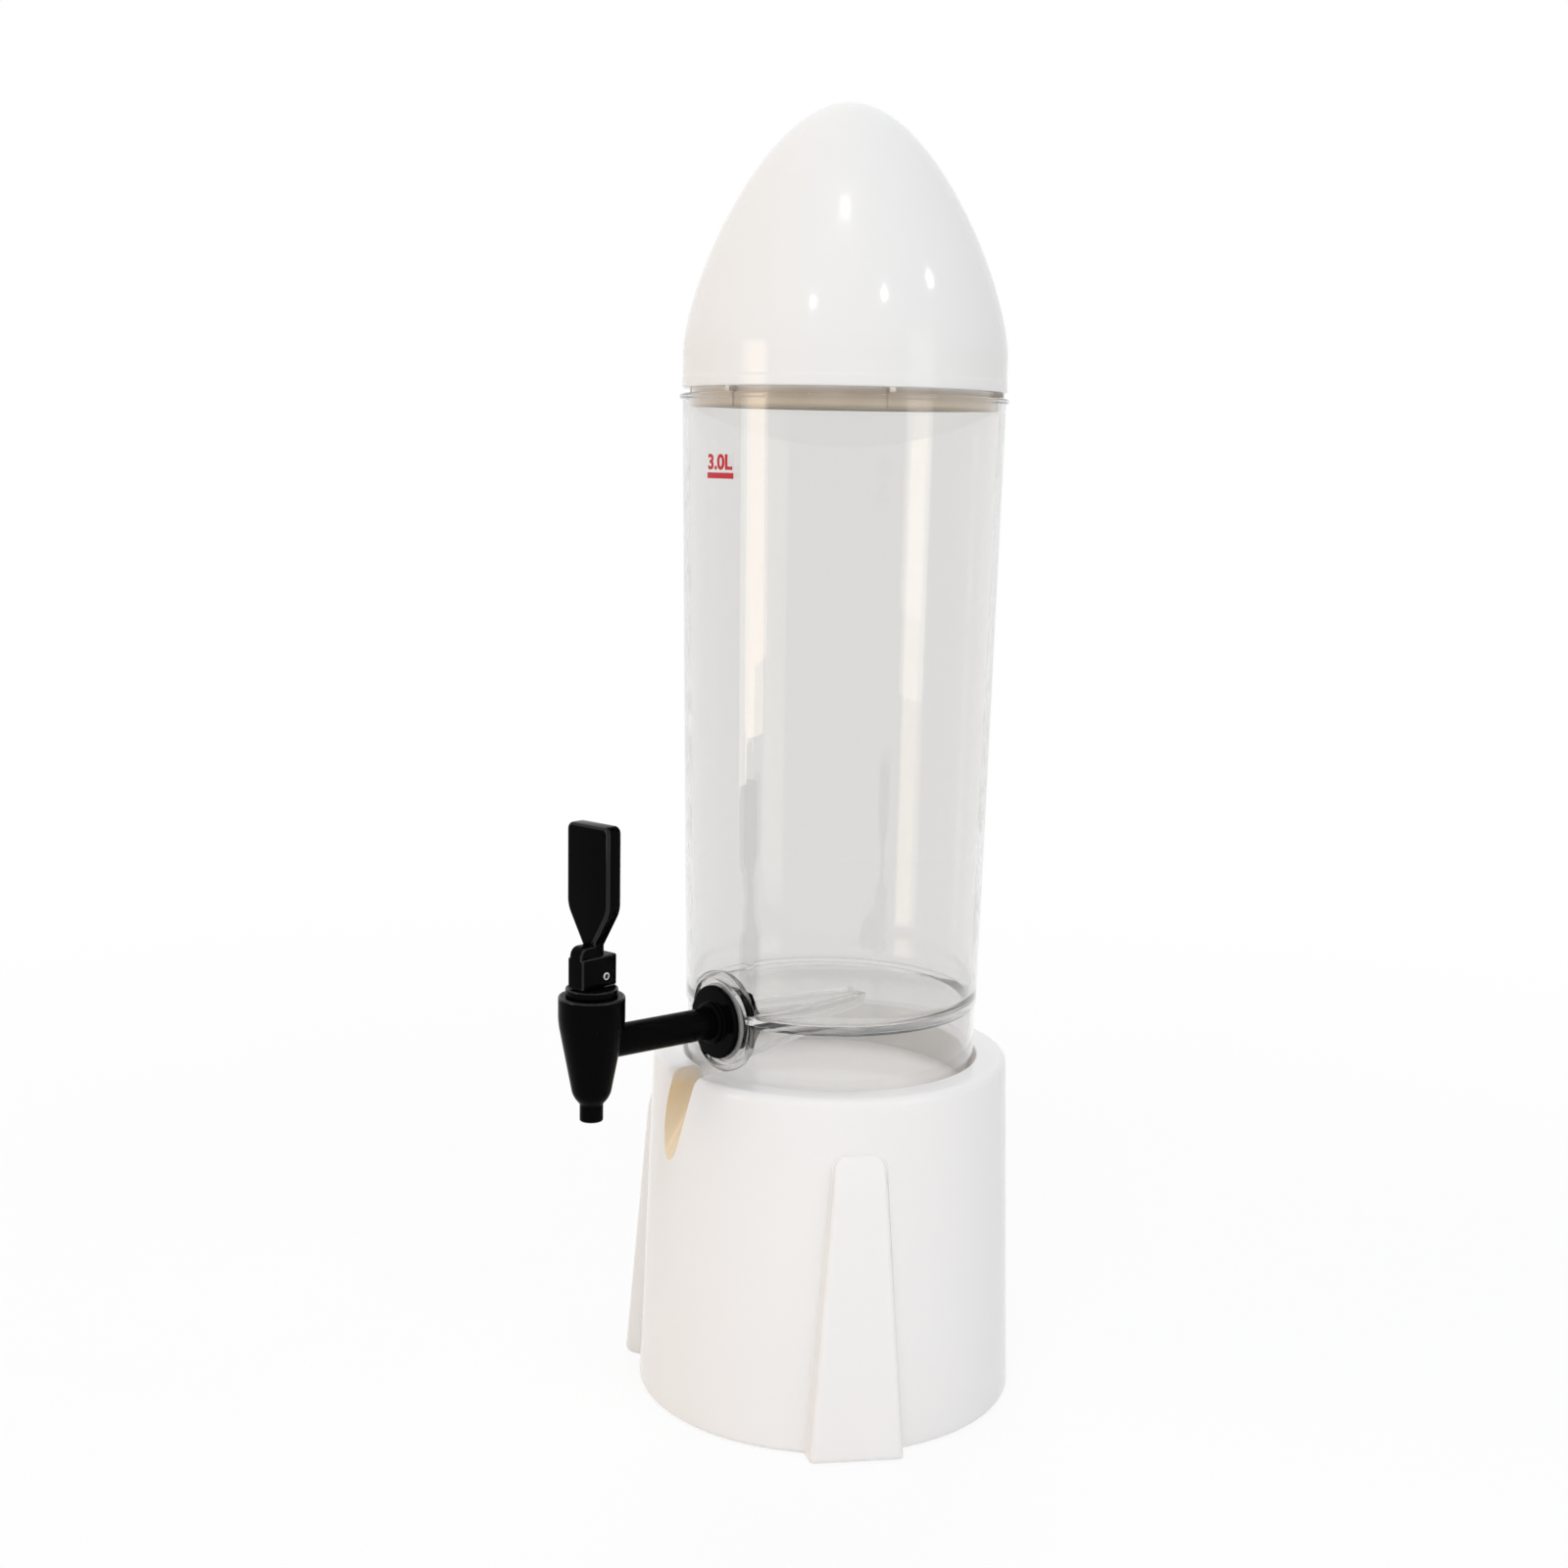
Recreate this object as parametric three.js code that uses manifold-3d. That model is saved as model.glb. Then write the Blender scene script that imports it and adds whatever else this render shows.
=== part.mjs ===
// Three litre beer tower: a moulded base, a clear vessel, a domed cap and a lever tap.
// Millimetres, +Z up. The table is z = 0 and the tap points along -Y.
import * as THREE from 'three';
import * as BufferGeometryUtils from 'three/addons/utils/BufferGeometryUtils.js';
import Module from 'manifold-3d';

const wasm = await Module();
wasm.setup();

// Gaps and cutters
const clear = 0.3;
const overrun = 2;

// Facets
const towerSides = 60;
const tapSides = 24;
const smallSides = 16;
const ringPoints = 6;
const roundSteps = 2;
const domeSteps = 10;
const bladeSteps = 3;

// Vessel; its skirt stands in the base, and the widths of both follow from it
const skirtHeight = 39.7;
const skirtRadius = 64.4;
const skirtWall = 2.8;
const skirtRound = 1;
const vesselFootStep = 0.8;
const vesselTaper = 4.3;
const vesselHeight = 263.3;
const vesselWall = 2.8;
const vesselStep = 1;
const floorThickness = 3;
const floorRound = 6;
const lipProud = 1.4;
const lipTall = 2.5;
const lipRoundShare = 0.45;

// Base moulding
const baseHeight = 154.5;
const baseRimWidth = 13.5;
const baseTaper = 5.5;
const baseWall = 3;
const baseRimRound = 3.5;
const baseFootRound = 2.5;
const socketPlay = 1.3;
const socketDepth = 14.5;
const socketLipRound = 1.2;
const webCount = 6;
const webThickness = 2;
const webDepth = 28;
const webHubRadius = 12;

// Fins of the base
const finCount = 3;
const finHeight = 131;
const finTopWidth = 22.8;
const finFootWidth = 41.8;
const finTopReach = 5;
const finFootReach = 7.6;
const finShoulder = 16;
const finCorner = 3;
const finRings = 9;
const finCornerSteps = 4;

// Foot pads, let into posts under the fins
const padRadius = 6.5;
const padThickness = 2.5;
const padProud = 0.4;
const padPostWall = 2;
const padPostHeight = 20;

// Drip notch in the rim, under the tap and leaning to one side
const notchWidth = 16;
const notchSill = 3.5;
const notchDrop = 36;
const notchLean = 15;
const notchTurn = 15;
const notchOffset = 2;

// Flat seat for the tap and the drain channel that leads to it
const tapDrop = 3.7;
const seatDepth = 3.4;
const seatRadius = 19.2;
const seatThickness = 3;
const seatBulgeRadius = 22;
const channelBack = 12;
const channelTip = 5;
const channelMouth = 16.6;

// Cap
const capHeight = 119.5;
const capSetback = 1.2;
const capWall = 2.4;
const capBand = 14.3;
const capEdgeRound = 1;
const capCrownShare = 0.512;
const capShoulderShare = 0.27;
const ventGap = 2.3;
const plugDepth = 8.6;
const plugSlack = 1.2;
const plugWall = 2.2;
const plugRound = 0.6;
const capRibCount = 6;
const capRibThickness = 2.4;
const capRibTurn = 6.6;
const capRibSetback = 0.6;

// Tap body, one moulding with its shank
const tapReach = 127.6;
const shankRadius = 6.9;
const shankBore = 4.5;
const shankTail = 14;
const bodyRadius = 13.9;
const bodyTopRise = 21.2;
const bodyShoulderRise = 10.1;
const bodyTopRound = 0.8;
const spoutRootDrop = 21.3;
const spoutRootRadius = 7.9;
const spoutRootRound = 3;
const spoutRadius = 4.9;
const spoutNeck = 3.6;
const spoutLength = 10.8;
const spoutTipRound = 0.5;
const throatRadius = 3.4;
const throatDrop = 14.3;
const chamberRadius = 6.8;
const valveSlope = 0.65;
const threadRadius = 10.5;

// Flange, gaskets, washer and nut that clamp the tap to the vessel
const flangeRadius = 15.9;
const flangeThickness = 2.7;
const flangeRound = 0.9;
const hubRadius = 9;
const hubLength = 3;
const hubRound = 1.2;
const gasketOverhang = 0.7;
const gasketThickness = 1.6;
const innerGasketRadius = 12.6;
const washerRadius = 13.2;
const washerThickness = 1;
const nutRadius = 14;
const nutThickness = 5;
const nutRound = 1.5;

// Bonnet
const bonnetCollarRadius = 10.9;
const bonnetCollarTall = 3.2;
const bonnetCollarRound = 0.6;
const bonnetSkirt = 10.5;
const bonnetWall = 3;
const bonnetPlate = 6;
const ringWire = 1.4;
const bonnetRingDrop = 7;
const stemRingWire = 1.1;

// Stem, seat cup and spring
const stemRadius = 2.6;
const cupRadius = 5.8;
const cupTall = 6.5;
const cupSkin = 1.9;
const cupSide = 1.9;
const buttonTall = 2.1;
const stemNeckRadius = 2;
const stemShoulderRadius = 5.4;
const stemShoulderTall = 1.5;
const springWasherRadius = 6;
const springWasherThickness = 1;
const springRadius = 4.6;
const springWire = 0.9;
const springTurns = 7;
const springStepsPerTurn = 10;
const springSides = 5;

// Lever with its slotted foot, the stem's tongue and the pin, turned a little about the tap body
const headTurn = 10.6;
const pinBack = 3.9;
const pinRise = 4.6;
const pinRadius = 1.7;
const pinBore = 1;
const pinProud = 0.2;
const tongueWidth = 5;
const tongueBoss = 3.4;
const tongueRise = 2.6;
const footWidth = 9;
const footRear = 6;
const footRise = 8.8;
const footRound = 1.2;
const footLedge = 1;
const toeFront = 13.2;
const toeRound = 0.7;
const shoulderRise = 13.4;
const shoulderRound = 4;
const leverTravel = 20;
const neckThickness = 5.6;
const neckRise = 18;
const bladeWidth = 24.4;
const bladeRootWidth = 4;
const bladeThickness = 7.6;
const bladeSetback = 1;
const bladeRound = 1.2;
const bladeCorner = 3;
const bladeTopRise = 63.4;
const bladeTaperRise = 28.4;
const bladeRootRise = 11.6;

// Heights and distances worked out from the sizes above
const quarterTurn = Math.PI / 2;
const vesselFootRadius = skirtRadius + vesselFootStep;
const vesselTopRadius = vesselFootRadius + vesselTaper;
const lipRadius = vesselTopRadius + lipProud;
const capRadius = lipRadius - capSetback;
const seatDistance = skirtRadius - seatDepth;
const socketRadius = skirtRadius + socketPlay;
const baseRimRadius = socketRadius + baseRimWidth;
const baseFootRadius = baseRimRadius + baseTaper;
const socketFloor = baseHeight - socketDepth;
const skirtBottom = socketFloor + clear;
const floorTop = skirtBottom + skirtHeight;
const lipTop = floorTop + vesselHeight;
const lipInner = vesselTopRadius - vesselWall;
const capEdge = lipTop + ventGap;
const capApex = capEdge + capHeight;
const tapHeight = floorTop - tapDrop;
const bonnetTopRise = bodyTopRise + clear + bonnetCollarTall;
const pinHeight = bonnetTopRise + pinRise;
const gasketBack = seatDistance + clear;
const flangeBack = gasketBack + gasketThickness + clear;
const innerGasketFront = seatDistance - seatThickness - clear;
const washerFront = innerGasketFront - gasketThickness - clear;
const nutFront = washerFront - washerThickness - clear;
const shankHole = shankRadius + clear;
const cupSeatRadius = throatRadius + clear;
const cupBottom = -throatDrop + (cupSeatRadius - throatRadius) * valveSlope + clear * Math.hypot(1, valveSlope);
const buttonBottom = cupBottom + cupSkin + clear;
const stemShoulder = cupBottom + cupTall + clear;
const springWasherBottom = stemShoulder + stemShoulderTall + clear;
const springBottom = springWasherBottom + springWasherThickness + clear;
const bonnetPlateBottom = bonnetTopRise - bonnetPlate;
const springTop = bonnetPlateBottom - clear;

// Outline helpers: a corner is [x, y] or [x, y, rounding radius]
function roundedPoints(corners, steps = roundSteps) {
  const points = [];
  corners.forEach(([x, y, radius = 0], index) => {
    const corner = new THREE.Vector2(x, y);
    if (radius === 0) {
      points.push(corner);
      return;
    }
    const [beforeX, beforeY] = corners.at(index - 1);
    const [afterX, afterY] = corners[(index + 1) % corners.length];
    const toBefore = new THREE.Vector2(beforeX, beforeY).sub(corner).normalize();
    const toAfter = new THREE.Vector2(afterX, afterY).sub(corner).normalize();
    const halfAngle = Math.acos(toBefore.dot(toAfter)) / 2;
    const inward = toBefore.clone().add(toAfter).normalize();
    const centre = corner.clone().addScaledVector(inward, radius / Math.sin(halfAngle));
    const start = corner.clone().addScaledVector(toBefore, radius / Math.tan(halfAngle)).sub(centre);
    const turn = Math.sign(toBefore.cross(toAfter)) * (2 * halfAngle - Math.PI);
    for (let step = 0; step <= steps; step += 1) {
      const spoke = start.clone().rotateAround(new THREE.Vector2(), turn * step / steps);
      points.push(centre.clone().add(spoke));
    }
  });
  return points;
}

// Turned solid about Z; an outline off the axis is closed on itself
function revolve(points, sides) {
  const ordered = THREE.ShapeUtils.area(points) < 0 ? points.slice().reverse() : points.slice();
  const onAxis = ordered.some((point) => point.x === 0);
  if (onAxis) {
    const isStart = (point, index) => point.x === 0 && ordered.at(index - 1).x === 0;
    const first = ordered.findIndex(isStart);
    ordered.push(...ordered.splice(0, first));
  } else {
    ordered.push(ordered[0].clone());
  }
  const geometry = new THREE.LatheGeometry(ordered, sides);
  geometry.rotateX(quarterTurn);
  return geometry;
}

function turned(corners, sides, steps) {
  return revolve(roundedPoints(corners, steps), sides);
}

function cylinder(radius, bottom, top, sides) {
  return turned([[0, bottom], [radius, bottom], [radius, top], [0, top]], sides);
}

function ring(inner, outer, bottom, top, sides) {
  return turned([[inner, bottom], [outer, bottom], [outer, top], [inner, top]], sides);
}

function box(width, depth, height, x, y, z) {
  return new THREE.BoxGeometry(width, depth, height).translate(x, y, z);
}

// Flat outline in (x, y) swept up Z by a height
function extruded(points, height, options = {}) {
  const settings = { depth: height, bevelEnabled: false, steps: 1, ...options };
  return new THREE.ExtrudeGeometry(new THREE.Shape(points), settings);
}

// Outline in (forward, up) given a width across: forward is -Y and across is X
function sideProfile(corners, width) {
  const geometry = extruded(roundedPoints(corners), width);
  geometry.translate(0, 0, -width / 2);
  const forward = new THREE.Vector3(0, -1, 0);
  const up = new THREE.Vector3(0, 0, 1);
  const across = new THREE.Vector3(-1, 0, 0);
  return geometry.applyMatrix4(new THREE.Matrix4().makeBasis(forward, up, across));
}

// Lay a solid made about Z along the tap, so that its Z becomes -Y
function alongTap(geometry) {
  return geometry.rotateX(quarterTurn);
}

// Lay a solid made about Z across the tap, centred on its own middle
function acrossTap(geometry) {
  return geometry.rotateY(quarterTurn);
}

// Solid from a stack of closed rings with equal point counts
function lofted(rings) {
  const count = rings[0].length;
  const positions = rings.flat().flatMap((point) => [point.x, point.y, point.z]);
  const index = [];
  for (let level = 0; level + 1 < rings.length; level += 1) {
    for (let side = 0; side < count; side += 1) {
      const a = level * count + side;
      const b = level * count + (side + 1) % count;
      index.push(a, b, b + count, a, b + count, a + count);
    }
  }
  const last = (rings.length - 1) * count;
  for (let side = 1; side + 1 < count; side += 1) {
    index.push(0, side + 1, side);
    index.push(last, last + side, last + side + 1);
  }
  const geometry = new THREE.BufferGeometry();
  geometry.setAttribute('position', new THREE.Float32BufferAttribute(positions, 3));
  geometry.setIndex(index);
  return geometry;
}

// Booleans
function toManifold(geometry) {
  const plain = geometry.clone();
  plain.deleteAttribute('normal');
  plain.deleteAttribute('uv');
  const merged = BufferGeometryUtils.mergeVertices(plain);
  const source = merged.index.array;
  const triangles = [];
  for (let at = 0; at < source.length; at += 3) {
    const [a, b, c] = source.slice(at, at + 3);
    if (a !== b && b !== c && c !== a) {
      triangles.push(a, b, c);
    }
  }
  const vertProperties = merged.attributes.position.array;
  const triVerts = new Uint32Array(triangles);
  return new wasm.Manifold(new wasm.Mesh({ numProp: 3, vertProperties, triVerts }));
}

function fromManifold(solid) {
  const mesh = solid.getMesh();
  const geometry = new THREE.BufferGeometry();
  geometry.setAttribute('position', new THREE.BufferAttribute(mesh.vertProperties, 3));
  geometry.setIndex(new THREE.BufferAttribute(mesh.triVerts, 1));
  return geometry;
}

function join(...parts) {
  return fromManifold(parts.map(toManifold).reduce((whole, part) => whole.add(part)));
}

function cut(body, ...tools) {
  return fromManifold(tools.map(toManifold).reduce((whole, tool) => whole.subtract(tool), toManifold(body)));
}

function common(body, other) {
  return fromManifold(toManifold(body).intersect(toManifold(other)));
}

// Materials
function finish(color, roughness, metalness = 0, extra = {}) {
  return () => new THREE.MeshStandardMaterial({ color, roughness, metalness, ...extra });
}

const whiteGloss = finish(0xf2ece6, 0.15);
const clearPlastic = finish(0xe4e2dc, 0.05, 0, { transparent: true, opacity: 0.35 });
const blackGloss = finish(0x0b0b0c, 0.12);
const blackRubber = finish(0x1c1c1d, 0.7);
const milkySilicone = finish(0xd9d9d4, 0.45);
const greySilicone = finish(0x8c8c86, 0.5);
const steel = finish(0xb8b8b6, 0.25, 1);

function piece(name, geometry, makeMaterial) {
  geometry.computeVertexNormals();
  const mesh = new THREE.Mesh(geometry, makeMaterial());
  mesh.name = name;
  return mesh;
}

// Drum radius at a height, on its straight taper
function drumRadius(height) {
  return baseFootRadius + (baseRimRadius - baseFootRadius) * height / baseHeight;
}

function drumSolid() {
  return turned([
    [0, padProud],
    [baseFootRadius, padProud, baseFootRound],
    [baseRimRadius, baseHeight, baseRimRound],
    [socketRadius, baseHeight, socketLipRound],
    [socketRadius, socketFloor],
    [0, socketFloor],
  ], towerSides);
}

function drumHollow() {
  const below = padProud - overrun;
  return turned([
    [0, below],
    [baseFootRadius - baseWall, below],
    [baseRimRadius - baseWall, baseHeight - baseWall, baseRimRound],
    [socketRadius + baseWall, baseHeight - baseWall],
    [socketRadius + baseWall, socketFloor - baseWall],
    [0, socketFloor - baseWall],
  ], towerSides);
}

// Plan ring of one fin at a height: flat sides, round outer corners, root inside the drum
function finRing(height, halfWidth, outerRadius, rootRadius) {
  const corner = Math.min(finCorner, (outerRadius - rootRadius) / 2, halfWidth / 2);
  const outline = roundedPoints([
    [halfWidth, -rootRadius],
    [-halfWidth, -rootRadius],
    [-halfWidth, -outerRadius, corner],
    [halfWidth, -outerRadius, corner],
  ], finCornerSteps);
  return outline.map((point) => new THREE.Vector3(point.x, point.y, height));
}

// Fin standing on the -Y side, drawn in by an inset for its hollow
function finSolid(inset, bottom) {
  const top = finHeight - inset;
  const rootRadius = baseRimRadius - 2 * baseWall;
  const rings = [];
  for (let level = 0; level <= finRings; level += 1) {
    const share = 1 - (1 - level / finRings) ** 2;
    const height = bottom + (top - bottom) * share;
    const drop = Math.max(0, 1 - Math.max(0, height) / finHeight);
    const width = finTopWidth + (finFootWidth - finTopWidth) * drop;
    const reach = finTopReach + (finFootReach - finTopReach) * drop;
    const intoShoulder = Math.max(0, 1 - (top - height) / finShoulder);
    const shoulder = Math.sqrt(Math.max(0, 1 - intoShoulder ** 2));
    const outer = drumRadius(height) + reach * shoulder - inset;
    rings.push(finRing(height, width / 2 - inset, outer, rootRadius));
  }
  return lofted(rings);
}

function finAngle(index) {
  return THREE.MathUtils.degToRad(180 + 360 * index / finCount);
}

function aroundFins(geometry) {
  const copies = [];
  for (let index = 0; index < finCount; index += 1) {
    copies.push(geometry.clone().rotateZ(finAngle(index)));
  }
  return copies;
}

// U-shaped groove that falls from the socket to the outside of the drum
function notchCutter(grow) {
  const half = notchWidth / 2 + grow;
  const outward = baseFootRadius - socketRadius + notchWidth;
  const outline = new THREE.Shape();
  outline.moveTo(-half, -outward);
  outline.lineTo(half, -outward);
  outline.absarc(0, -notchWidth / 2, half, 0, Math.PI, false);
  const sillDrop = socketDepth - notchSill;
  const tip = socketFloor + notchSill - notchDrop;
  const tilt = Math.atan2(drumRadius(tip) - socketRadius, notchDrop);
  const below = (notchDrop + sillDrop) / Math.cos(tilt);
  const run = 2 * (below + notchWidth);
  const settings = { depth: run, bevelEnabled: false, curveSegments: smallSides / 2 };
  const geometry = new THREE.ExtrudeGeometry(outline, settings);
  geometry.translate(0, 0, -run / 2);
  geometry.rotateX(-tilt);
  geometry.translate(0, baseRimRadius - socketRadius, -sillDrop);
  geometry.rotateY(THREE.MathUtils.degToRad(notchLean));
  geometry.rotateZ(THREE.MathUtils.degToRad(notchTurn));
  return geometry.translate(-notchOffset, -baseRimRadius, baseHeight);
}

// The pad's post stands half a wall into the outer face of its fin
function padPostRadius() {
  return padRadius + clear + padPostWall;
}

function padDistance() {
  return baseFootRadius + finFootReach - baseWall / 2 - padPostRadius();
}

function padPost() {
  const post = cylinder(padPostRadius(), -overrun, padPostHeight, smallSides);
  return post.translate(0, -padDistance(), 0);
}

function padPocket() {
  const pocket = cylinder(padRadius + clear, -overrun, padThickness + clear, smallSides);
  return pocket.translate(0, -padDistance(), 0);
}

function webs() {
  const bottom = socketFloor - baseWall - webDepth;
  const tall = webDepth + baseWall / 2;
  const solids = [ring(webHubRadius, webHubRadius + webThickness, bottom, bottom + tall, tapSides)];
  for (let index = 0; index < webCount; index += 1) {
    const length = baseFootRadius - webHubRadius - webThickness / 2;
    const middle = webHubRadius + webThickness / 2 + length / 2;
    const web = box(webThickness, length, tall, 0, -middle, bottom + tall / 2);
    solids.push(web.rotateZ(2 * Math.PI * (index + 1 / 2) / webCount));
  }
  return solids;
}

function baseShell() {
  const outside = join(drumSolid(), ...aroundFins(finSolid(0, padProud)));
  const hollow = join(drumHollow(), ...aroundFins(finSolid(baseWall, padProud - overrun)));
  const kept = [...webs(), notchCutter(baseWall), ...aroundFins(padPost())];
  const shell = cut(outside, notchCutter(0), cut(hollow, ...kept));
  return cut(shell, ...aroundFins(padPocket()));
}

function footPads() {
  const names = ['foot_pad_rear', 'foot_pad_left', 'foot_pad_right'];
  return names.map((name, index) => {
    const pad = cylinder(padRadius, 0, padThickness, smallSides).translate(0, -padDistance(), 0);
    return piece(name, pad.rotateZ(finAngle(index)), blackRubber);
  });
}

function vesselWalls() {
  const floorBottom = floorTop - floorThickness;
  const beadBottom = lipTop - lipTall;
  const skirtTop = floorTop - vesselStep;
  const bead = lipTall * lipRoundShare;
  const skirtInner = skirtRadius - skirtWall;
  return turned([
    [0, floorBottom],
    [skirtInner, floorBottom],
    [skirtInner, skirtBottom, skirtRound],
    [skirtRadius, skirtBottom, skirtRound],
    [skirtRadius, skirtTop],
    [vesselFootRadius, skirtTop],
    [vesselTopRadius, beadBottom],
    [lipRadius, beadBottom, bead],
    [lipRadius, lipTop, bead],
    [lipInner, lipTop, bead],
    [vesselFootRadius - vesselWall, floorTop, floorRound],
    [0, floorTop],
  ], towerSides);
}

// Half cone under the floor, from its tip behind the middle to the tap seat
function channel(grow, front) {
  const cone = turned([
    [0, -channelBack - grow],
    [channelTip + grow, -channelBack - grow],
    [channelMouth + grow, front],
    [0, front],
  ], tapSides);
  return alongTap(cone).translate(0, 0, tapHeight);
}

function seatDisc(radius, near, far) {
  return alongTap(cylinder(radius, near, far, towerSides)).translate(0, 0, tapHeight);
}

function vessel() {
  const inside = seatDistance - seatThickness;
  const belowFloor = box(
    2 * vesselFootRadius, 2 * vesselFootRadius, skirtHeight,
    0, 0, floorTop - skirtHeight / 2,
  );
  const trough = common(channel(floorThickness, seatDistance), belowFloor);
  const backing = seatDisc(seatBulgeRadius, inside, seatDistance);
  const walls = join(vesselWalls(), trough, backing);
  const recess = seatDisc(seatRadius, seatDistance, vesselTopRadius + overrun);
  const hole = alongTap(cylinder(shankHole, inside - overrun, seatDistance + overrun, tapSides));
  hole.translate(0, 0, tapHeight);
  return cut(walls, channel(0, inside), recess, hole);
}

// Right half of a dome, from the crown on the axis down to the straight band
function domePoints(radius, apex, bandTop) {
  const crown = new THREE.Vector2(0, apex);
  const crownHandle = new THREE.Vector2(radius * capCrownShare, apex);
  const shoulderHandle = new THREE.Vector2(radius, bandTop + (apex - bandTop) * capShoulderShare);
  const shoulder = new THREE.Vector2(radius, bandTop);
  const curve = new THREE.CubicBezierCurve(crown, crownHandle, shoulderHandle, shoulder);
  return curve.getPoints(domeSteps);
}

function capShell() {
  const plugRadius = lipInner - plugSlack;
  const plugInner = plugRadius - plugWall;
  const plugBottom = capEdge - plugDepth;
  const shelf = capEdge + capWall;
  const bandTop = capEdge + capBand;
  const skirt = roundedPoints([
    [capRadius - capWall, shelf],
    [plugInner, shelf],
    [plugInner, plugBottom, plugRound],
    [plugRadius, plugBottom, plugRound],
    [plugRadius, capEdge],
    [capRadius, capEdge, capEdgeRound],
    [capRadius, bandTop],
  ]);
  const inner = domePoints(capRadius - capWall, capApex - capWall, bandTop);
  const outer = domePoints(capRadius, capApex, bandTop).reverse();
  return revolve([...inner, ...skirt.slice(0, -1), ...outer], towerSides);
}

// Ribs that centre the plug in the mouth and hold the cap off the lip
function capRibs() {
  const plugInner = lipInner - plugSlack - plugWall / 2;
  const standing = capEdge + capWall / 2;
  const restBottom = lipTop + clear;
  const ribs = [];
  for (let index = 0; index < capRibCount; index += 1) {
    const restLength = capRadius - capRibSetback - plugInner;
    const rest = box(
      capRibThickness, restLength, standing - restBottom,
      0, -plugInner - restLength / 2, (standing + restBottom) / 2,
    );
    const guideLength = lipInner - clear - plugInner;
    const guideBottom = capEdge - plugDepth + plugRound;
    const guide = box(
      capRibThickness, guideLength, standing - guideBottom,
      0, -plugInner - guideLength / 2, (standing + guideBottom) / 2,
    );
    const turn = THREE.MathUtils.degToRad(capRibTurn + 360 * index / capRibCount);
    ribs.push(join(rest, guide).rotateZ(turn));
  }
  return ribs;
}

function cap() {
  return join(capShell(), ...capRibs());
}

// Tap: the origin is the tap axis at the middle of the tap body
function bodyOutside() {
  const spoutBottom = -spoutRootDrop - spoutLength;
  return turned([
    [0, spoutBottom],
    [spoutRadius, spoutBottom, spoutTipRound],
    [spoutRadius, -spoutRootDrop - spoutNeck],
    [spoutRootRadius, -spoutRootDrop, spoutRootRound],
    [bodyRadius, bodyShoulderRise, spoutRootRound],
    [bodyRadius, bodyTopRise, bodyTopRound],
    [0, bodyTopRise],
  ], tapSides);
}

function bodyInside() {
  const spoutBottom = -spoutRootDrop - spoutLength - overrun;
  const seatTop = -throatDrop + (chamberRadius - throatRadius) * valveSlope;
  const threadBottom = bodyTopRise - bonnetSkirt - clear;
  return turned([
    [0, spoutBottom],
    [throatRadius, spoutBottom],
    [throatRadius, -throatDrop],
    [chamberRadius, seatTop],
    [chamberRadius, threadBottom],
    [threadRadius, threadBottom],
    [threadRadius, bodyTopRise + overrun],
    [0, bodyTopRise + overrun],
  ], tapSides);
}

function tapBody() {
  const tail = tapReach - seatDistance + shankTail;
  const shank = alongTap(cylinder(shankRadius, -tail, 0, tapSides));
  const passage = alongTap(cylinder(shankBore, -tail - overrun, 0, tapSides));
  return cut(join(bodyOutside(), shank), bodyInside(), passage);
}

function flange() {
  const front = flangeBack + flangeThickness;
  return alongTap(turned([
    [shankHole, flangeBack],
    [flangeRadius, flangeBack, flangeRound],
    [flangeRadius, front, flangeRound],
    [hubRadius, front],
    [hubRadius, front + hubLength, hubRound],
    [shankHole, front + hubLength],
  ], tapSides));
}

function tapRing(radius, near, thickness) {
  return alongTap(ring(shankHole, radius, near, near + thickness, tapSides));
}

function lockNut() {
  const corners = [];
  for (let index = 0; index < 6; index += 1) {
    const angle = Math.PI * index / 3;
    corners.push([nutRadius * Math.cos(angle), nutRadius * Math.sin(angle), nutRound]);
  }
  const blank = extruded(roundedPoints(corners), nutThickness);
  const bore = cylinder(shankHole, -overrun, nutThickness + overrun, tapSides);
  return alongTap(cut(blank, bore).translate(0, 0, nutFront - nutThickness));
}

function bonnet() {
  const skirtOuter = threadRadius - clear;
  const skirtInner = skirtOuter - bonnetWall;
  const skirtEnd = bodyTopRise - bonnetSkirt;
  const collarBottom = bodyTopRise + clear;
  const bore = stemRadius + clear;
  const ringTop = bodyTopRise - bonnetRingDrop;
  const ringBottom = ringTop - ringWire - 2 * clear;
  const ringFloor = skirtOuter - ringWire - clear;
  const stemRingFloor = bore + stemRingWire + clear;
  const stemRingMiddle = bonnetTopRise - bonnetPlate / 2;
  const stemRingHalf = stemRingWire / 2 + clear;
  return turned([
    [bore, bonnetPlateBottom],
    [skirtInner, bonnetPlateBottom],
    [skirtInner, skirtEnd],
    [skirtOuter, skirtEnd],
    [skirtOuter, ringBottom],
    [ringFloor, ringBottom],
    [ringFloor, ringTop],
    [skirtOuter, ringTop],
    [skirtOuter, collarBottom],
    [bonnetCollarRadius, collarBottom],
    [bonnetCollarRadius, bonnetTopRise, bonnetCollarRound],
    [bore, bonnetTopRise],
    [bore, stemRingMiddle + stemRingHalf],
    [stemRingFloor, stemRingMiddle + stemRingHalf],
    [stemRingFloor, stemRingMiddle - stemRingHalf],
    [bore, stemRingMiddle - stemRingHalf],
  ], tapSides);
}

function torus(centreRadius, wire, height) {
  const section = [];
  for (let index = 0; index < ringPoints; index += 1) {
    const spoke = new THREE.Vector2(wire / 2, 0);
    spoke.rotateAround(new THREE.Vector2(), 2 * Math.PI * index / ringPoints);
    section.push(spoke.add(new THREE.Vector2(centreRadius, height)));
  }
  return revolve(section, tapSides);
}

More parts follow.
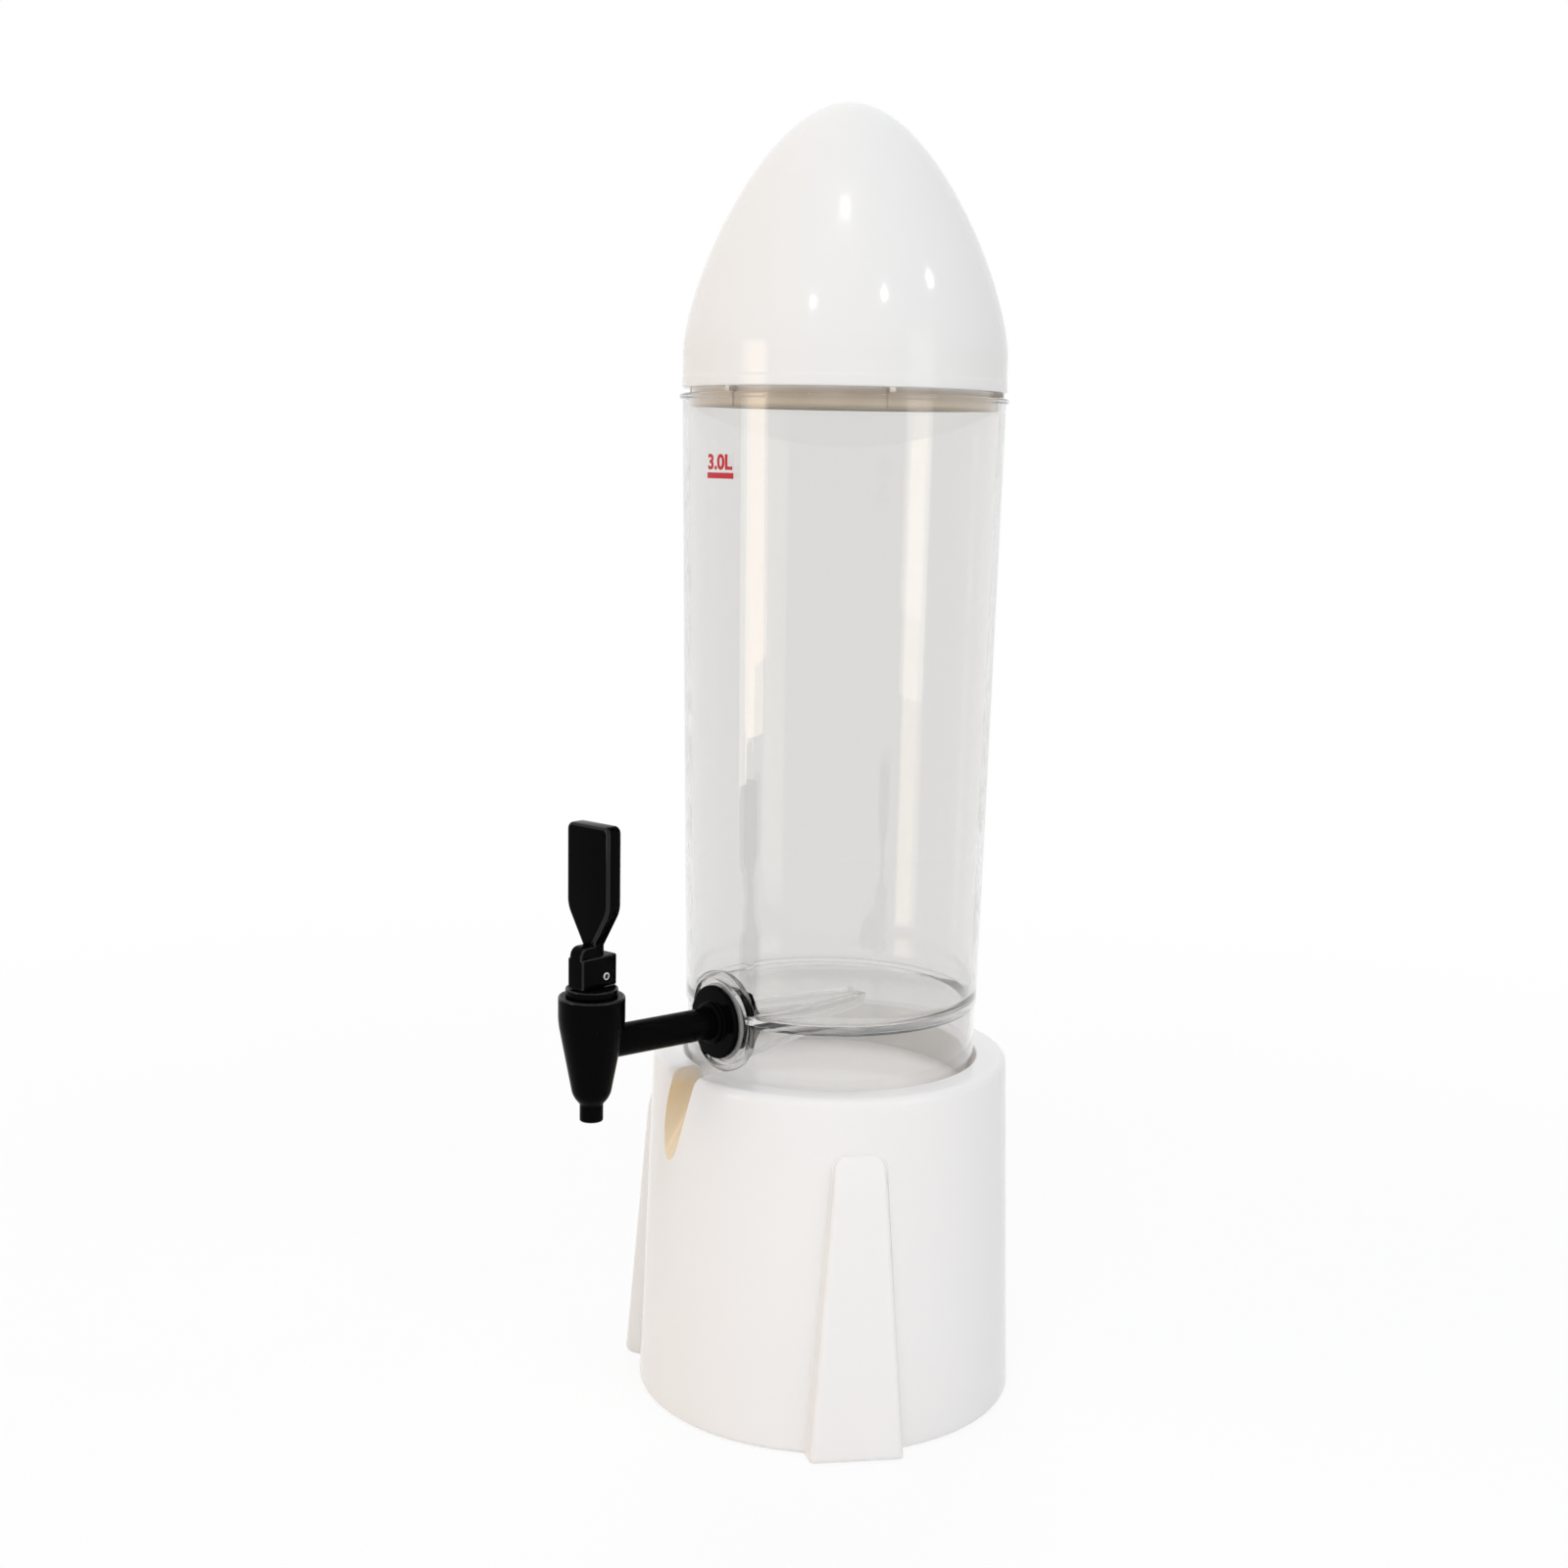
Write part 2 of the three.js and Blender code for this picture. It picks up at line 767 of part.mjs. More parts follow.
function bonnetRing() {
  const middle = bodyTopRise - bonnetRingDrop - clear - ringWire / 2;
  return torus(threadRadius - clear - ringWire / 2, ringWire, middle);
}

function stemRing() {
  return torus(stemRadius + clear + stemRingWire / 2, stemRingWire, bonnetTopRise - bonnetPlate / 2);
}

function seatCup() {
  const top = cupBottom + cupTall;
  const coneTop = cupBottom + (cupRadius - cupSeatRadius) * valveSlope;
  const pocket = cupRadius - cupSide;
  const pocketTop = buttonBottom + buttonTall + clear;
  const neck = stemNeckRadius + clear;
  return turned([
    [0, cupBottom],
    [cupSeatRadius, cupBottom],
    [cupRadius, coneTop],
    [cupRadius, top],
    [neck, top],
    [neck, pocketTop],
    [pocket, pocketTop],
    [pocket, cupBottom + cupSkin],
    [0, cupBottom + cupSkin],
  ], smallSides);
}

// Tongue on top of the stem's rod, with a boss round the pin
function tongue() {
  const underside = clear - pinRise;
  const front = pinBack + stemRadius;
  const web = sideProfile([
    [0, underside],
    [front, underside],
    [front, tongueRise],
    [0, tongueBoss],
  ], tongueWidth);
  const boss = acrossTap(cylinder(tongueBoss, -tongueWidth / 2, tongueWidth / 2, tapSides));
  return join(web, boss).translate(0, pinBack, pinHeight);
}

function pinHole() {
  return acrossTap(cylinder(pinRadius + clear, -footWidth, footWidth, smallSides));
}

function stem() {
  const buttonRadius = cupRadius - cupSide - clear;
  const buttonTop = buttonBottom + buttonTall;
  const rod = turned([
    [0, buttonBottom],
    [buttonRadius, buttonBottom],
    [buttonRadius, buttonTop],
    [stemNeckRadius, buttonTop],
    [stemNeckRadius, stemShoulder],
    [stemShoulderRadius, stemShoulder],
    [stemShoulderRadius, stemShoulder + stemShoulderTall],
    [stemRadius, stemShoulder + stemShoulderTall],
    [stemRadius, pinHeight],
    [0, pinHeight],
  ], smallSides);
  return cut(join(rod, tongue()), pinHole().translate(0, pinBack, pinHeight));
}

// Compression spring as one unbroken tube
class Helix extends THREE.Curve {
  constructor(radius, bottom, top, turns) {
    super();
    Object.assign(this, { radius, bottom, top, turns });
  }

  getPoint(share, target = new THREE.Vector3()) {
    const angle = 2 * Math.PI * this.turns * share;
    const height = this.bottom + (this.top - this.bottom) * share;
    return target.set(this.radius * Math.cos(angle), this.radius * Math.sin(angle), height);
  }
}

function spring() {
  const path = new Helix(springRadius, springBottom + springWire / 2, springTop - springWire / 2, springTurns);
  const section = [];
  for (let side = 0; side < springSides; side += 1) {
    const angle = 2 * Math.PI * side / springSides;
    section.push(new THREE.Vector2(Math.cos(angle), Math.sin(angle)).multiplyScalar(springWire / 2));
  }
  const settings = { steps: springTurns * springStepsPerTurn, extrudePath: path, bevelEnabled: false };
  const gap = (path.top - path.bottom) / springTurns - springWire;
  console.log(`spring: least gap between turns ${gap.toFixed(2)} mm`);
  return new THREE.ExtrudeGeometry(new THREE.Shape(section), settings);
}

// Lever's foot: two cheeks, a toe that bears on the bonnet, and a narrower middle that rises to the neck
function leverFoot() {
  const bottom = clear - pinRise;
  const neckRear = pinBack - bladeSetback - neckThickness / 2;
  const neckFront = neckRear + neckThickness;
  const cheeks = sideProfile([
    [-footRear, bottom],
    [toeFront, bottom, toeRound],
    [toeFront, footRise, footRound],
    [-footRear, footRise, footRound],
  ], footWidth);
  const middle = sideProfile([
    [neckRear, 0],
    [toeFront, 0],
    [toeFront, shoulderRise, shoulderRound],
    [neckFront, shoulderRise],
    [neckFront, neckRise],
    [neckRear, neckRise],
  ], footWidth - 2 * footLedge);
  return cut(join(cheeks, middle), tongueSlot(), pinHole());
}

// Slot with room for the tongue and the rod when the lever is pulled right down
function tongueSlot() {
  const travel = THREE.MathUtils.degToRad(leverTravel);
  const bottom = clear - pinRise;
  const rodFront = pinBack + stemRadius;
  const front = (rodFront - bottom * Math.sin(travel)) / Math.cos(travel) + clear;
  const raised = rodFront * Math.sin(travel) + tongueRise * Math.cos(travel);
  const top = Math.max(tongueBoss, raised) + clear;
  return sideProfile([
    [-footRear - overrun, bottom - overrun],
    [front, bottom - overrun],
    [front, top],
    [-footRear - overrun, top],
  ], 2 * (stemRadius + clear));
}

function leverBlade() {
  const halfRoot = bladeRootWidth / 2;
  const half = bladeWidth / 2;
  const corners = [
    [-halfRoot, bladeRootRise],
    [halfRoot, bladeRootRise],
    [half, bladeTaperRise, bladeCorner],
    [half, bladeTopRise, bladeCorner],
    [-half, bladeTopRise, bladeCorner],
    [-half, bladeTaperRise, bladeCorner],
  ];
  const geometry = extruded(roundedPoints(corners, bladeSteps), bladeThickness - 2 * bladeRound, {
    bevelEnabled: true,
    bevelThickness: bladeRound,
    bevelSize: bladeRound,
    bevelOffset: -bladeRound,
    bevelSegments: bladeSteps,
  });
  geometry.translate(0, 0, bladeRound - bladeThickness / 2);
  return geometry.rotateX(quarterTurn).translate(0, bladeSetback - pinBack, 0);
}

function lever() {
  return join(leverFoot(), leverBlade()).translate(0, pinBack, pinHeight);
}

function leverPin() {
  const half = footWidth / 2 + pinProud;
  return acrossTap(ring(pinBore, pinRadius, -half, half, smallSides)).translate(0, pinBack, pinHeight);
}

// Scene graph
const head = new THREE.Group();
head.rotation.z = THREE.MathUtils.degToRad(headTurn);
head.add(piece('stem', stem(), blackGloss));
head.add(piece('lever', lever(), blackGloss));
head.add(piece('lever_pin', leverPin(), steel));

const tap = new THREE.Group();
tap.position.set(0, -tapReach, tapHeight);
tap.add(piece('tap_body', tapBody(), blackGloss));
tap.add(piece('bonnet', bonnet(), blackGloss));
tap.add(piece('bonnet_o_ring', bonnetRing(), blackRubber));
tap.add(piece('stem_o_ring', stemRing(), blackRubber));
tap.add(piece('seat_cup', seatCup(), greySilicone));
tap.add(piece('spring_washer', ring(
  stemRadius + clear, springWasherRadius,
  springWasherBottom, springWasherBottom + springWasherThickness, smallSides,
), steel));
tap.add(piece('return_spring', spring(), steel));
tap.add(head);

const clamp = new THREE.Group();
clamp.position.z = tapHeight;
clamp.add(piece('tap_flange', flange(), blackGloss));
clamp.add(piece('flange_gasket', tapRing(flangeRadius + gasketOverhang, gasketBack, gasketThickness), milkySilicone));
clamp.add(piece('inner_gasket', tapRing(
  innerGasketRadius, innerGasketFront - gasketThickness, gasketThickness,
), blackRubber));
clamp.add(piece('slip_washer', tapRing(washerRadius, washerFront - washerThickness, washerThickness), blackGloss));
clamp.add(piece('lock_nut', lockNut(), blackGloss));

const tower = new THREE.Group();
tower.position.y = (tapReach + bodyRadius - baseFootRadius - finFootReach) / 2;
tower.add(piece('base_shell', baseShell(), whiteGloss));
footPads().forEach((pad) => tower.add(pad));
tower.add(piece('vessel', vessel(), clearPlastic));
tower.add(piece('cap', cap(), whiteGloss));
tower.add(clamp, tap);

const dispenser = new THREE.Group();
dispenser.add(tower);

export default dispenser;
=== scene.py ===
import math

import bmesh
import bpy
from mathutils import Matrix, Vector


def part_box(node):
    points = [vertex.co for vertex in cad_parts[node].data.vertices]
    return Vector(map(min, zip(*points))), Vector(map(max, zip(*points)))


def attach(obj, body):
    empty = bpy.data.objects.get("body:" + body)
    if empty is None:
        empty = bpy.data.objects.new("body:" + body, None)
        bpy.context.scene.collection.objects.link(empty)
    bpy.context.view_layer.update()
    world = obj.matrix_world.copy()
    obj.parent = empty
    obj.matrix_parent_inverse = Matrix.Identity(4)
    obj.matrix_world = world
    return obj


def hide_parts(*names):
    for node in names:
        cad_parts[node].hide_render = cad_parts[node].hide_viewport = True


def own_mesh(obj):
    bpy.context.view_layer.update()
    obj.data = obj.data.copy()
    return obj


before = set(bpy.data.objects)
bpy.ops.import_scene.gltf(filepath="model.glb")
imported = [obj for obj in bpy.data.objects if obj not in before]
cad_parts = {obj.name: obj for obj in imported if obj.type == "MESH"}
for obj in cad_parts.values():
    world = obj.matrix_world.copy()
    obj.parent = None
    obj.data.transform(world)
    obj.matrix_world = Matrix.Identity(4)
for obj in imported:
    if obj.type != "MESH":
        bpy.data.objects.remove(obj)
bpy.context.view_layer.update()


# Base moulding. One glossy white ABS moulding, hollow underneath: a tapered drum with three fins that
# flare to feet, a socket in its top for the vessel, and a drip notch that leans through the rim.
# Webs stiffen the socket's floor, and each fin has a post that takes a foot pad.
MM = 0.001
vessel_low, vessel_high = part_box("vessel")
TOWER = Matrix.Translation((0, (vessel_low.y + vessel_high.y) / 2, 0))

BASE_TOP = 154.5
BASE_WALL = 3
RIM_RADIUS = 79.2
FOOT_RADIUS = 84.7
SOCKET_RADIUS = 65.7
SOCKET_FLOOR = 140
FIN_TOP = 131
FIN_HALF_TOP = 11.4
FIN_HALF_FOOT = 20.9
FIN_REACH_TOP = 5
FIN_REACH_FOOT = 7.6
FIN_ROUND = 2.4
FIN_DRAFT = 0.8
FIN_FILLET = 1.2
FIN_SHOULDER = 16
FIN_CROWN = 5
RIM_BAND = 4
OUTER_WALL = 3.2
WEB_BOTTOM = 109
WEB_TOP = 138.5
HUB_RADIUS = 14
HUB_BORE = 12
PAD_DISTANCE = 82
PAD_RADIUS = 6.5
PAD_THICKNESS = 2.5
POCKET_RADIUS = 6.8
POCKET_DEPTH = 2.8
POST_RADIUS = 8.8
POST_HEIGHT = 20
NOTCH_WIDTH = 15
NOTCH_SILL = 3.5
NOTCH_DROP = 47
NOTCH_LEAN = 19
NOTCH_TURN = 15
NOTCH_ASIDE = 2


def new_object(name, mesh):
    obj = bpy.data.objects.new(name, mesh)
    bpy.context.scene.collection.objects.link(obj)
    return obj


def outline(bm, corners, segments):
    """A flat outline in X and Z from (x, z, rounding) corners in millimetres, as one face."""
    verts = [bm.verts.new((corner[0] * MM, 0, corner[1] * MM)) for corner in corners]
    bm.faces.new(verts)
    for vert, corner in zip(verts, corners):
        if len(corner) == 3:
            bmesh.ops.bevel(bm, geom=[vert], offset=corner[2] * MM, offset_type="OFFSET",
                            affect="VERTICES", segments=segments, profile=0.5, material=-1)
    bmesh.ops.remove_doubles(bm, verts=bm.verts[:], dist=1e-6)


def spin_outline(bm, corners, sectors, segments=6):
    """The outline turned about Z, sector by sector of (angle, steps), and closed on itself."""
    outline(bm, corners, segments)
    bmesh.ops.delete(bm, geom=bm.faces[:], context="FACES_ONLY")
    for edge in [e for e in bm.edges if all(abs(v.co.x) < 1e-7 for v in e.verts)]:
        bm.edges.remove(edge)
    last = bm.verts[:] + bm.edges[:]
    for angle, steps in sectors:
        turned = bmesh.ops.spin(bm, geom=last, cent=(0, 0, 0), axis=(0, 0, 1), dvec=(0, 0, 0),
                                angle=angle, steps=steps, use_merge=False, use_normal_flip=False,
                                use_duplicate=False)
        last = turned["geom_last"]
    bmesh.ops.remove_doubles(bm, verts=bm.verts[:], dist=1e-6)
    bmesh.ops.recalc_face_normals(bm, faces=bm.faces[:])


def turned_solid(name, corners, steps=128, segments=6, place=Matrix.Identity(4)):
    """A full turn of an outline about Z."""
    bm = bmesh.new()
    spin_outline(bm, corners, [(math.tau, steps)], segments)
    bmesh.ops.transform(bm, matrix=place, verts=bm.verts[:])
    return finished_mesh(name, bm)


def round_bar(name, radius, start, end, steps=64, place=Matrix.Identity(4)):
    """A plain round solid along Z, to add or to cut with."""
    return turned_solid(name, [(0, start), (radius, start), (radius, end), (0, end)], steps, place=place)


def swept_solid(name, corners, width, segments=6, place=Matrix.Identity(4), edge=0):
    """An outline in X and Z given a width along Y, centred on it; edge rounds the rims of both ends."""
    bm = bmesh.new()
    outline(bm, corners, segments)
    swept = bmesh.ops.extrude_face_region(bm, geom=bm.faces[:])
    moved = [item for item in swept["geom"] if isinstance(item, bmesh.types.BMVert)]
    bmesh.ops.translate(bm, verts=moved, vec=(0, width * MM, 0))
    bmesh.ops.translate(bm, verts=bm.verts[:], vec=(0, -width * MM / 2, 0))
    if edge:
        rims = [e for e in bm.edges if abs(e.verts[0].co.y - e.verts[1].co.y) < 1e-7]
        bmesh.ops.bevel(bm, geom=rims, offset=edge * MM, offset_type="OFFSET", affect="EDGES",
                        segments=5, profile=0.5, material=-1, clamp_overlap=True)
    bmesh.ops.recalc_face_normals(bm, faces=bm.faces[:])
    bmesh.ops.transform(bm, matrix=place, verts=bm.verts[:])
    return finished_mesh(name, bm)


def finished_mesh(name, bm):
    """An object of the mesh being worked on, with points and faces in an order that never changes."""
    points = sorted(bm.verts, key=lambda vert: tuple(vert.co))
    faces = sorted(bm.faces, key=lambda face: tuple(face.calc_center_median()))
    for parts in (points, faces):
        for index, part in enumerate(parts):
            part.index = index
    bm.verts.sort()
    bm.faces.sort()
    mesh = bpy.data.meshes.new(name)
    bm.to_mesh(mesh)
    bm.free()
    return new_object(name, mesh)


def combine(body, operation, *tools):
    """The tools are joined to the body or cut from it, and used up."""
    for tool in tools:
        step = body.modifiers.new(operation.lower(), "BOOLEAN")
        step.operation = operation
        step.solver = "MANIFOLD"
        step.material_mode = "TRANSFER"
        step.object = tool
    result = bpy.data.meshes.new_from_object(body.evaluated_get(bpy.context.evaluated_depsgraph_get()))
    body.modifiers.clear()
    body.data = result
    for tool in tools:
        bpy.data.objects.remove(tool)


def shade(obj, angle=32):
    """Smooth shading, with edges that turn by more than the angle left sharp."""
    obj.data.shade_smooth()
    obj.data.set_sharp_from_angle(angle=math.radians(angle))


def drum_radius(height):
    """Outside radius of the drum's straight taper at a height."""
    return FOOT_RADIUS + (RIM_RADIUS - FOOT_RADIUS) * height / BASE_TOP


def fin_flank(share, fall, scale):
    """(aside, down) from the fin's outer corner, as share goes along corner, flank and fillet."""
    corner_end = 0.45
    flank_end = 0.65
    corner = FIN_ROUND * scale
    fillet = FIN_FILLET * scale
    if share < corner_end:
        turn = share / corner_end * math.pi / 2
        return -corner - FIN_DRAFT + corner * math.sin(turn), corner * (1 - math.cos(turn))
    if share < flank_end:
        along = (share - corner_end) / 0.2
        return -FIN_DRAFT * (1 - along), corner + (fall - corner - fillet) * along
    turn = (share - flank_end) / 0.35 * math.pi / 2
    return fillet * (1 - math.cos(turn)), fall - fillet * (1 - math.sin(turn))


def raise_fins(bm, inset):
    """Moves the drum's outer wall out to the three fins, whose columns follow their flare."""
    near = FIN_HALF_TOP - FIN_ROUND - FIN_DRAFT
    far = FIN_HALF_TOP + FIN_FILLET
    top = FIN_TOP - inset
    for vert in bm.verts:
        height = vert.co.z / MM
        radius = math.hypot(vert.co.x, vert.co.y) / MM
        if radius < drum_radius(height) - inset - OUTER_WALL or height > BASE_TOP - RIM_BAND - inset:
            continue
        angle = math.atan2(vert.co.x, vert.co.y)
        centre = round(angle / (math.tau / 3)) * math.tau / 3
        side = math.copysign(1, angle - centre)
        reference = abs(angle - centre) * RIM_RADIUS
        drop = min(1, max(0, 1 - height / FIN_TOP))
        half = FIN_HALF_TOP + (FIN_HALF_FOOT - FIN_HALF_TOP) * drop - inset
        reach = FIN_REACH_TOP + (FIN_REACH_FOOT - FIN_REACH_TOP) * drop
        into = min(1, max(0, 1 - (top - height) / FIN_SHOULDER))
        lift = math.sqrt(1 - into ** 2)
        if height > top - FIN_CROWN:
            past = min(1, (height - top + FIN_CROWN) / FIN_CROWN)
            half -= FIN_CROWN * (1 - math.sqrt(1 - past ** 2))
        if height > top:
            half += FIN_CROWN * min(1, (height - top) / (BASE_TOP - RIM_BAND - top))
            lift = 0
        raised = height <= top and lift > 0
        face = radius + reach * lift
        if reference <= near:
            aside = reference * (half - FIN_ROUND - FIN_DRAFT) / near
            aside = max(0, aside)
            sag = radius - math.sqrt(radius ** 2 - aside ** 2)
            out = face - sag * (1 - lift) if raised else radius - sag
        elif reference <= far:
            drum = math.sqrt(radius ** 2 - half ** 2)
            fall = face - (radius - drum) * (1 - lift) - drum
            scale = min(1, max(0.05, fall / (FIN_ROUND + FIN_FILLET + 0.3)))
            aside, down = fin_flank((reference - near) / (far - near), fall, scale)
            aside = max(0, half + aside)
            out = drum + fall - down if raised else math.sqrt(radius ** 2 - aside ** 2)
        else:
            limit = math.pi / 3
            edge = math.asin((half + FIN_FILLET) / radius)
            start = far / RIM_RADIUS
            share = (reference / RIM_RADIUS - start) / (limit - start)
            swing = edge + (limit - edge) * share
            aside, out = radius * math.sin(swing), radius * math.cos(swing)
        spot = Matrix.Rotation(-centre, 3, "Z") @ Vector((side * aside * MM, out * MM, 0))
        vert.co.x, vert.co.y = spot.x, spot.y


def finned_solid(name, corners, inset, rows):
    """A drum outline with rows of points up its side, spun densely where the fins stand."""
    near = (FIN_HALF_TOP - FIN_ROUND - FIN_DRAFT) / RIM_RADIUS
    flank = (FIN_ROUND + FIN_DRAFT + FIN_FILLET) / RIM_RADIUS
    plain = math.tau / 3 - 2 * (near + flank)
    fin = [(flank, 20), (2 * near, 6), (flank, 20)]
    side = [(drum_radius(height) - inset, height) for height in rows]
    bm = bmesh.new()
    spin_outline(bm, corners[:2] + side + corners[2:], (fin + [(plain, 40)]) * 3)
    start = Matrix.Rotation(math.pi / 2 - near - flank, 4, "Z")
    bmesh.ops.transform(bm, matrix=start, verts=bm.verts[:])
    raise_fins(bm, inset)
    bmesh.ops.recalc_face_normals(bm, faces=bm.faces[:])
    return finished_mesh(name, bm)


def fin_rows(bottom, top):
    """Heights up the side, closer together at the shoulder of the fins."""
    start = top - FIN_SHOULDER
    steps = [bottom + (start - 2 - bottom) * step / 22 for step in range(23)]
    arc = [start + FIN_SHOULDER * math.sin(turn * math.pi / 2 / 18) for turn in range(19)]
    return steps + arc + [top + 0.4, top + 3, top + 8]


def notch_cutter(grow):
    """U-shaped groove that falls from the socket to the outside of the drum."""
    half = NOTCH_WIDTH / 2 + grow
    sill = SOCKET_FLOOR + NOTCH_SILL
    tilt = math.atan2(drum_radius(sill - NOTCH_DROP) - SOCKET_RADIUS, NOTCH_DROP)
    corners = [(-half, -35), (half, -35), (half, grow, half - 0.01), (-half, grow, half - 0.01)]
    groove = swept_solid("notch", corners, 150, 16, Matrix.Rotation(-math.pi / 2, 4, "X"))
    at_socket = Matrix.Translation((0, (RIM_RADIUS - SOCKET_RADIUS) * MM, (sill - BASE_TOP) * MM))
    groove.data.transform(at_socket @ Matrix.Rotation(-tilt, 4, "X"))
    leaning = (Matrix.Rotation(math.radians(NOTCH_TURN), 4, "Z")
               @ Matrix.Rotation(math.radians(NOTCH_LEAN), 4, "Y"))
    at_rim = Matrix.Translation((-NOTCH_ASIDE * MM, -RIM_RADIUS * MM, BASE_TOP * MM))
    groove.data.transform(at_rim @ leaning)
    return groove


def pad_place(index):
    """Where a fin's foot pad stands, before the base is moved under the tower."""
    turn = Matrix.Rotation(math.radians(120 * index), 4, "Z")
    return turn @ Matrix.Translation((0, PAD_DISTANCE * MM, 0))


def socket(group, side, kind, name, value=None):
    made = group.interface.new_socket(name=name, in_out=side, socket_type=kind)
    if value is not None:
        made.default_value = value


def new_material(name):
    material = bpy.data.materials.new(name)
    material.use_nodes = True
    nodes = material.node_tree.nodes
    return material, nodes, material.node_tree.links, nodes["Principled BSDF"]


def moulded_surface():
    """Marks of a plastic moulding: slow waves, fine grain and smears from handling."""
    group = bpy.data.node_groups.new("moulded_surface", "ShaderNodeTree")
    socket(group, "INPUT", "NodeSocketColor", "Colour", (0.8, 0.8, 0.8, 1))
    socket(group, "INPUT", "NodeSocketColor", "Tint", (0.7, 0.68, 0.65, 1))
    socket(group, "INPUT", "NodeSocketFloat", "Tint amount", 0.1)
    socket(group, "INPUT", "NodeSocketFloat", "Gloss roughness", 0.15)
    socket(group, "INPUT", "NodeSocketFloat", "Smear roughness", 0.1)
    socket(group, "INPUT", "NodeSocketFloat", "Wave", 1.0)
    socket(group, "INPUT", "NodeSocketFloat", "Grain", 0.2)
    socket(group, "OUTPUT", "NodeSocketColor", "Colour")
    socket(group, "OUTPUT", "NodeSocketFloat", "Roughness")
    socket(group, "OUTPUT", "NodeSocketFloat", "Height")
    nodes, links = group.nodes, group.links
    given = nodes.new("NodeGroupInput")
    made = nodes.new("NodeGroupOutput")
    place = nodes.new("ShaderNodeTexCoord")

    def noise(scale, detail, stretch=(1, 1, 1)):
        spread = nodes.new("ShaderNodeMapping")
        spread.inputs["Scale"].default_value = stretch
        links.new(place.outputs["Object"], spread.inputs["Vector"])
        texture = nodes.new("ShaderNodeTexNoise")
        texture.inputs["Scale"].default_value = scale
        texture.inputs["Detail"].default_value = detail
        links.new(spread.outputs["Vector"], texture.inputs["Vector"])
        return texture.outputs["Fac"]

    def arithmetic(operation, first, second, third=None):
        step = nodes.new("ShaderNodeMath")
        step.operation = operation
        for index, value in enumerate((first, second, third)):
            if value is None:
                continue
            if isinstance(value, (int, float)):
                step.inputs[index].default_value = value
            else:
                links.new(value, step.inputs[index])
        return step.outputs[0]

    wave = noise(45, 1.5, (1, 1, 0.45))
    grain = noise(1400, 2)
    smear = noise(24, 6, (1, 1, 2.2))
    drift = noise(9, 2)
    height = arithmetic("MULTIPLY", wave, given.outputs["Wave"])
    links.new(arithmetic("MULTIPLY_ADD", grain, given.outputs["Grain"], height), made.inputs["Height"])
    smeared = nodes.new("ShaderNodeMapRange")
    smeared.interpolation_type = "SMOOTHSTEP"
    smeared.inputs["From Min"].default_value = 0.48
    smeared.inputs["From Max"].default_value = 0.78
    links.new(smear, smeared.inputs["Value"])
    links.new(given.outputs["Smear roughness"], smeared.inputs["To Max"])
    roughness = arithmetic("ADD", smeared.outputs["Result"], given.outputs["Gloss roughness"])
    links.new(roughness, made.inputs["Roughness"])
    tinted = nodes.new("ShaderNodeMix")
    tinted.data_type = "RGBA"
    links.new(arithmetic("MULTIPLY", drift, given.outputs["Tint amount"]), tinted.inputs["Factor"])
    links.new(given.outputs["Colour"], tinted.inputs["A"])
    links.new(given.outputs["Tint"], tinted.inputs["B"])
    links.new(tinted.outputs["Result"], made.inputs["Colour"])
    return group


MOULDED = moulded_surface()


def plastic(name, colour, tint, tint_amount, gloss, smear, wave, grain, bump, tinted=True):
    """A moulded plastic or rubber; its gloss, and its colour if tinted, show the moulding marks."""
    material, nodes, links, shader = new_material(name)
    marks = nodes.new("ShaderNodeGroup")
    marks.node_tree = MOULDED
    marks.inputs["Colour"].default_value = (*colour, 1)
    marks.inputs["Tint"].default_value = (*tint, 1)
    marks.inputs["Tint amount"].default_value = tint_amount
    marks.inputs["Gloss roughness"].default_value = gloss
    marks.inputs["Smear roughness"].default_value = smear
    marks.inputs["Wave"].default_value = wave
    marks.inputs["Grain"].default_value = grain
    relief = nodes.new("ShaderNodeBump")
    relief.inputs["Strength"].default_value = 1
    relief.inputs["Distance"].default_value = bump
    links.new(marks.outputs["Height"], relief.inputs["Height"])
    links.new(relief.outputs["Normal"], shader.inputs["Normal"])
    links.new(marks.outputs["Roughness"], shader.inputs["Roughness"])
    if tinted:
        links.new(marks.outputs["Colour"], shader.inputs["Base Color"])
    else:
        shader.inputs["Base Color"].default_value = (*colour, 1)
    return material, shader


def wear(obj, *materials):
    obj.data.materials.clear()
    for material in materials:
        obj.data.materials.append(material)


def mixed_in(material, mask, colour):
    """A second colour laid over a material's own where a mask says."""
    nodes, links = material.node_tree.nodes, material.node_tree.links
    base_colour = nodes["Principled BSDF"].inputs["Base Color"]
    over = nodes.new("ShaderNodeMix")
    over.data_type = "RGBA"
    links.new(base_colour.links[0].from_socket, over.inputs["A"])
    over.inputs["B"].default_value = (*colour, 1)
    links.new(mask, over.inputs["Factor"])
    links.new(over.outputs["Result"], base_colour)


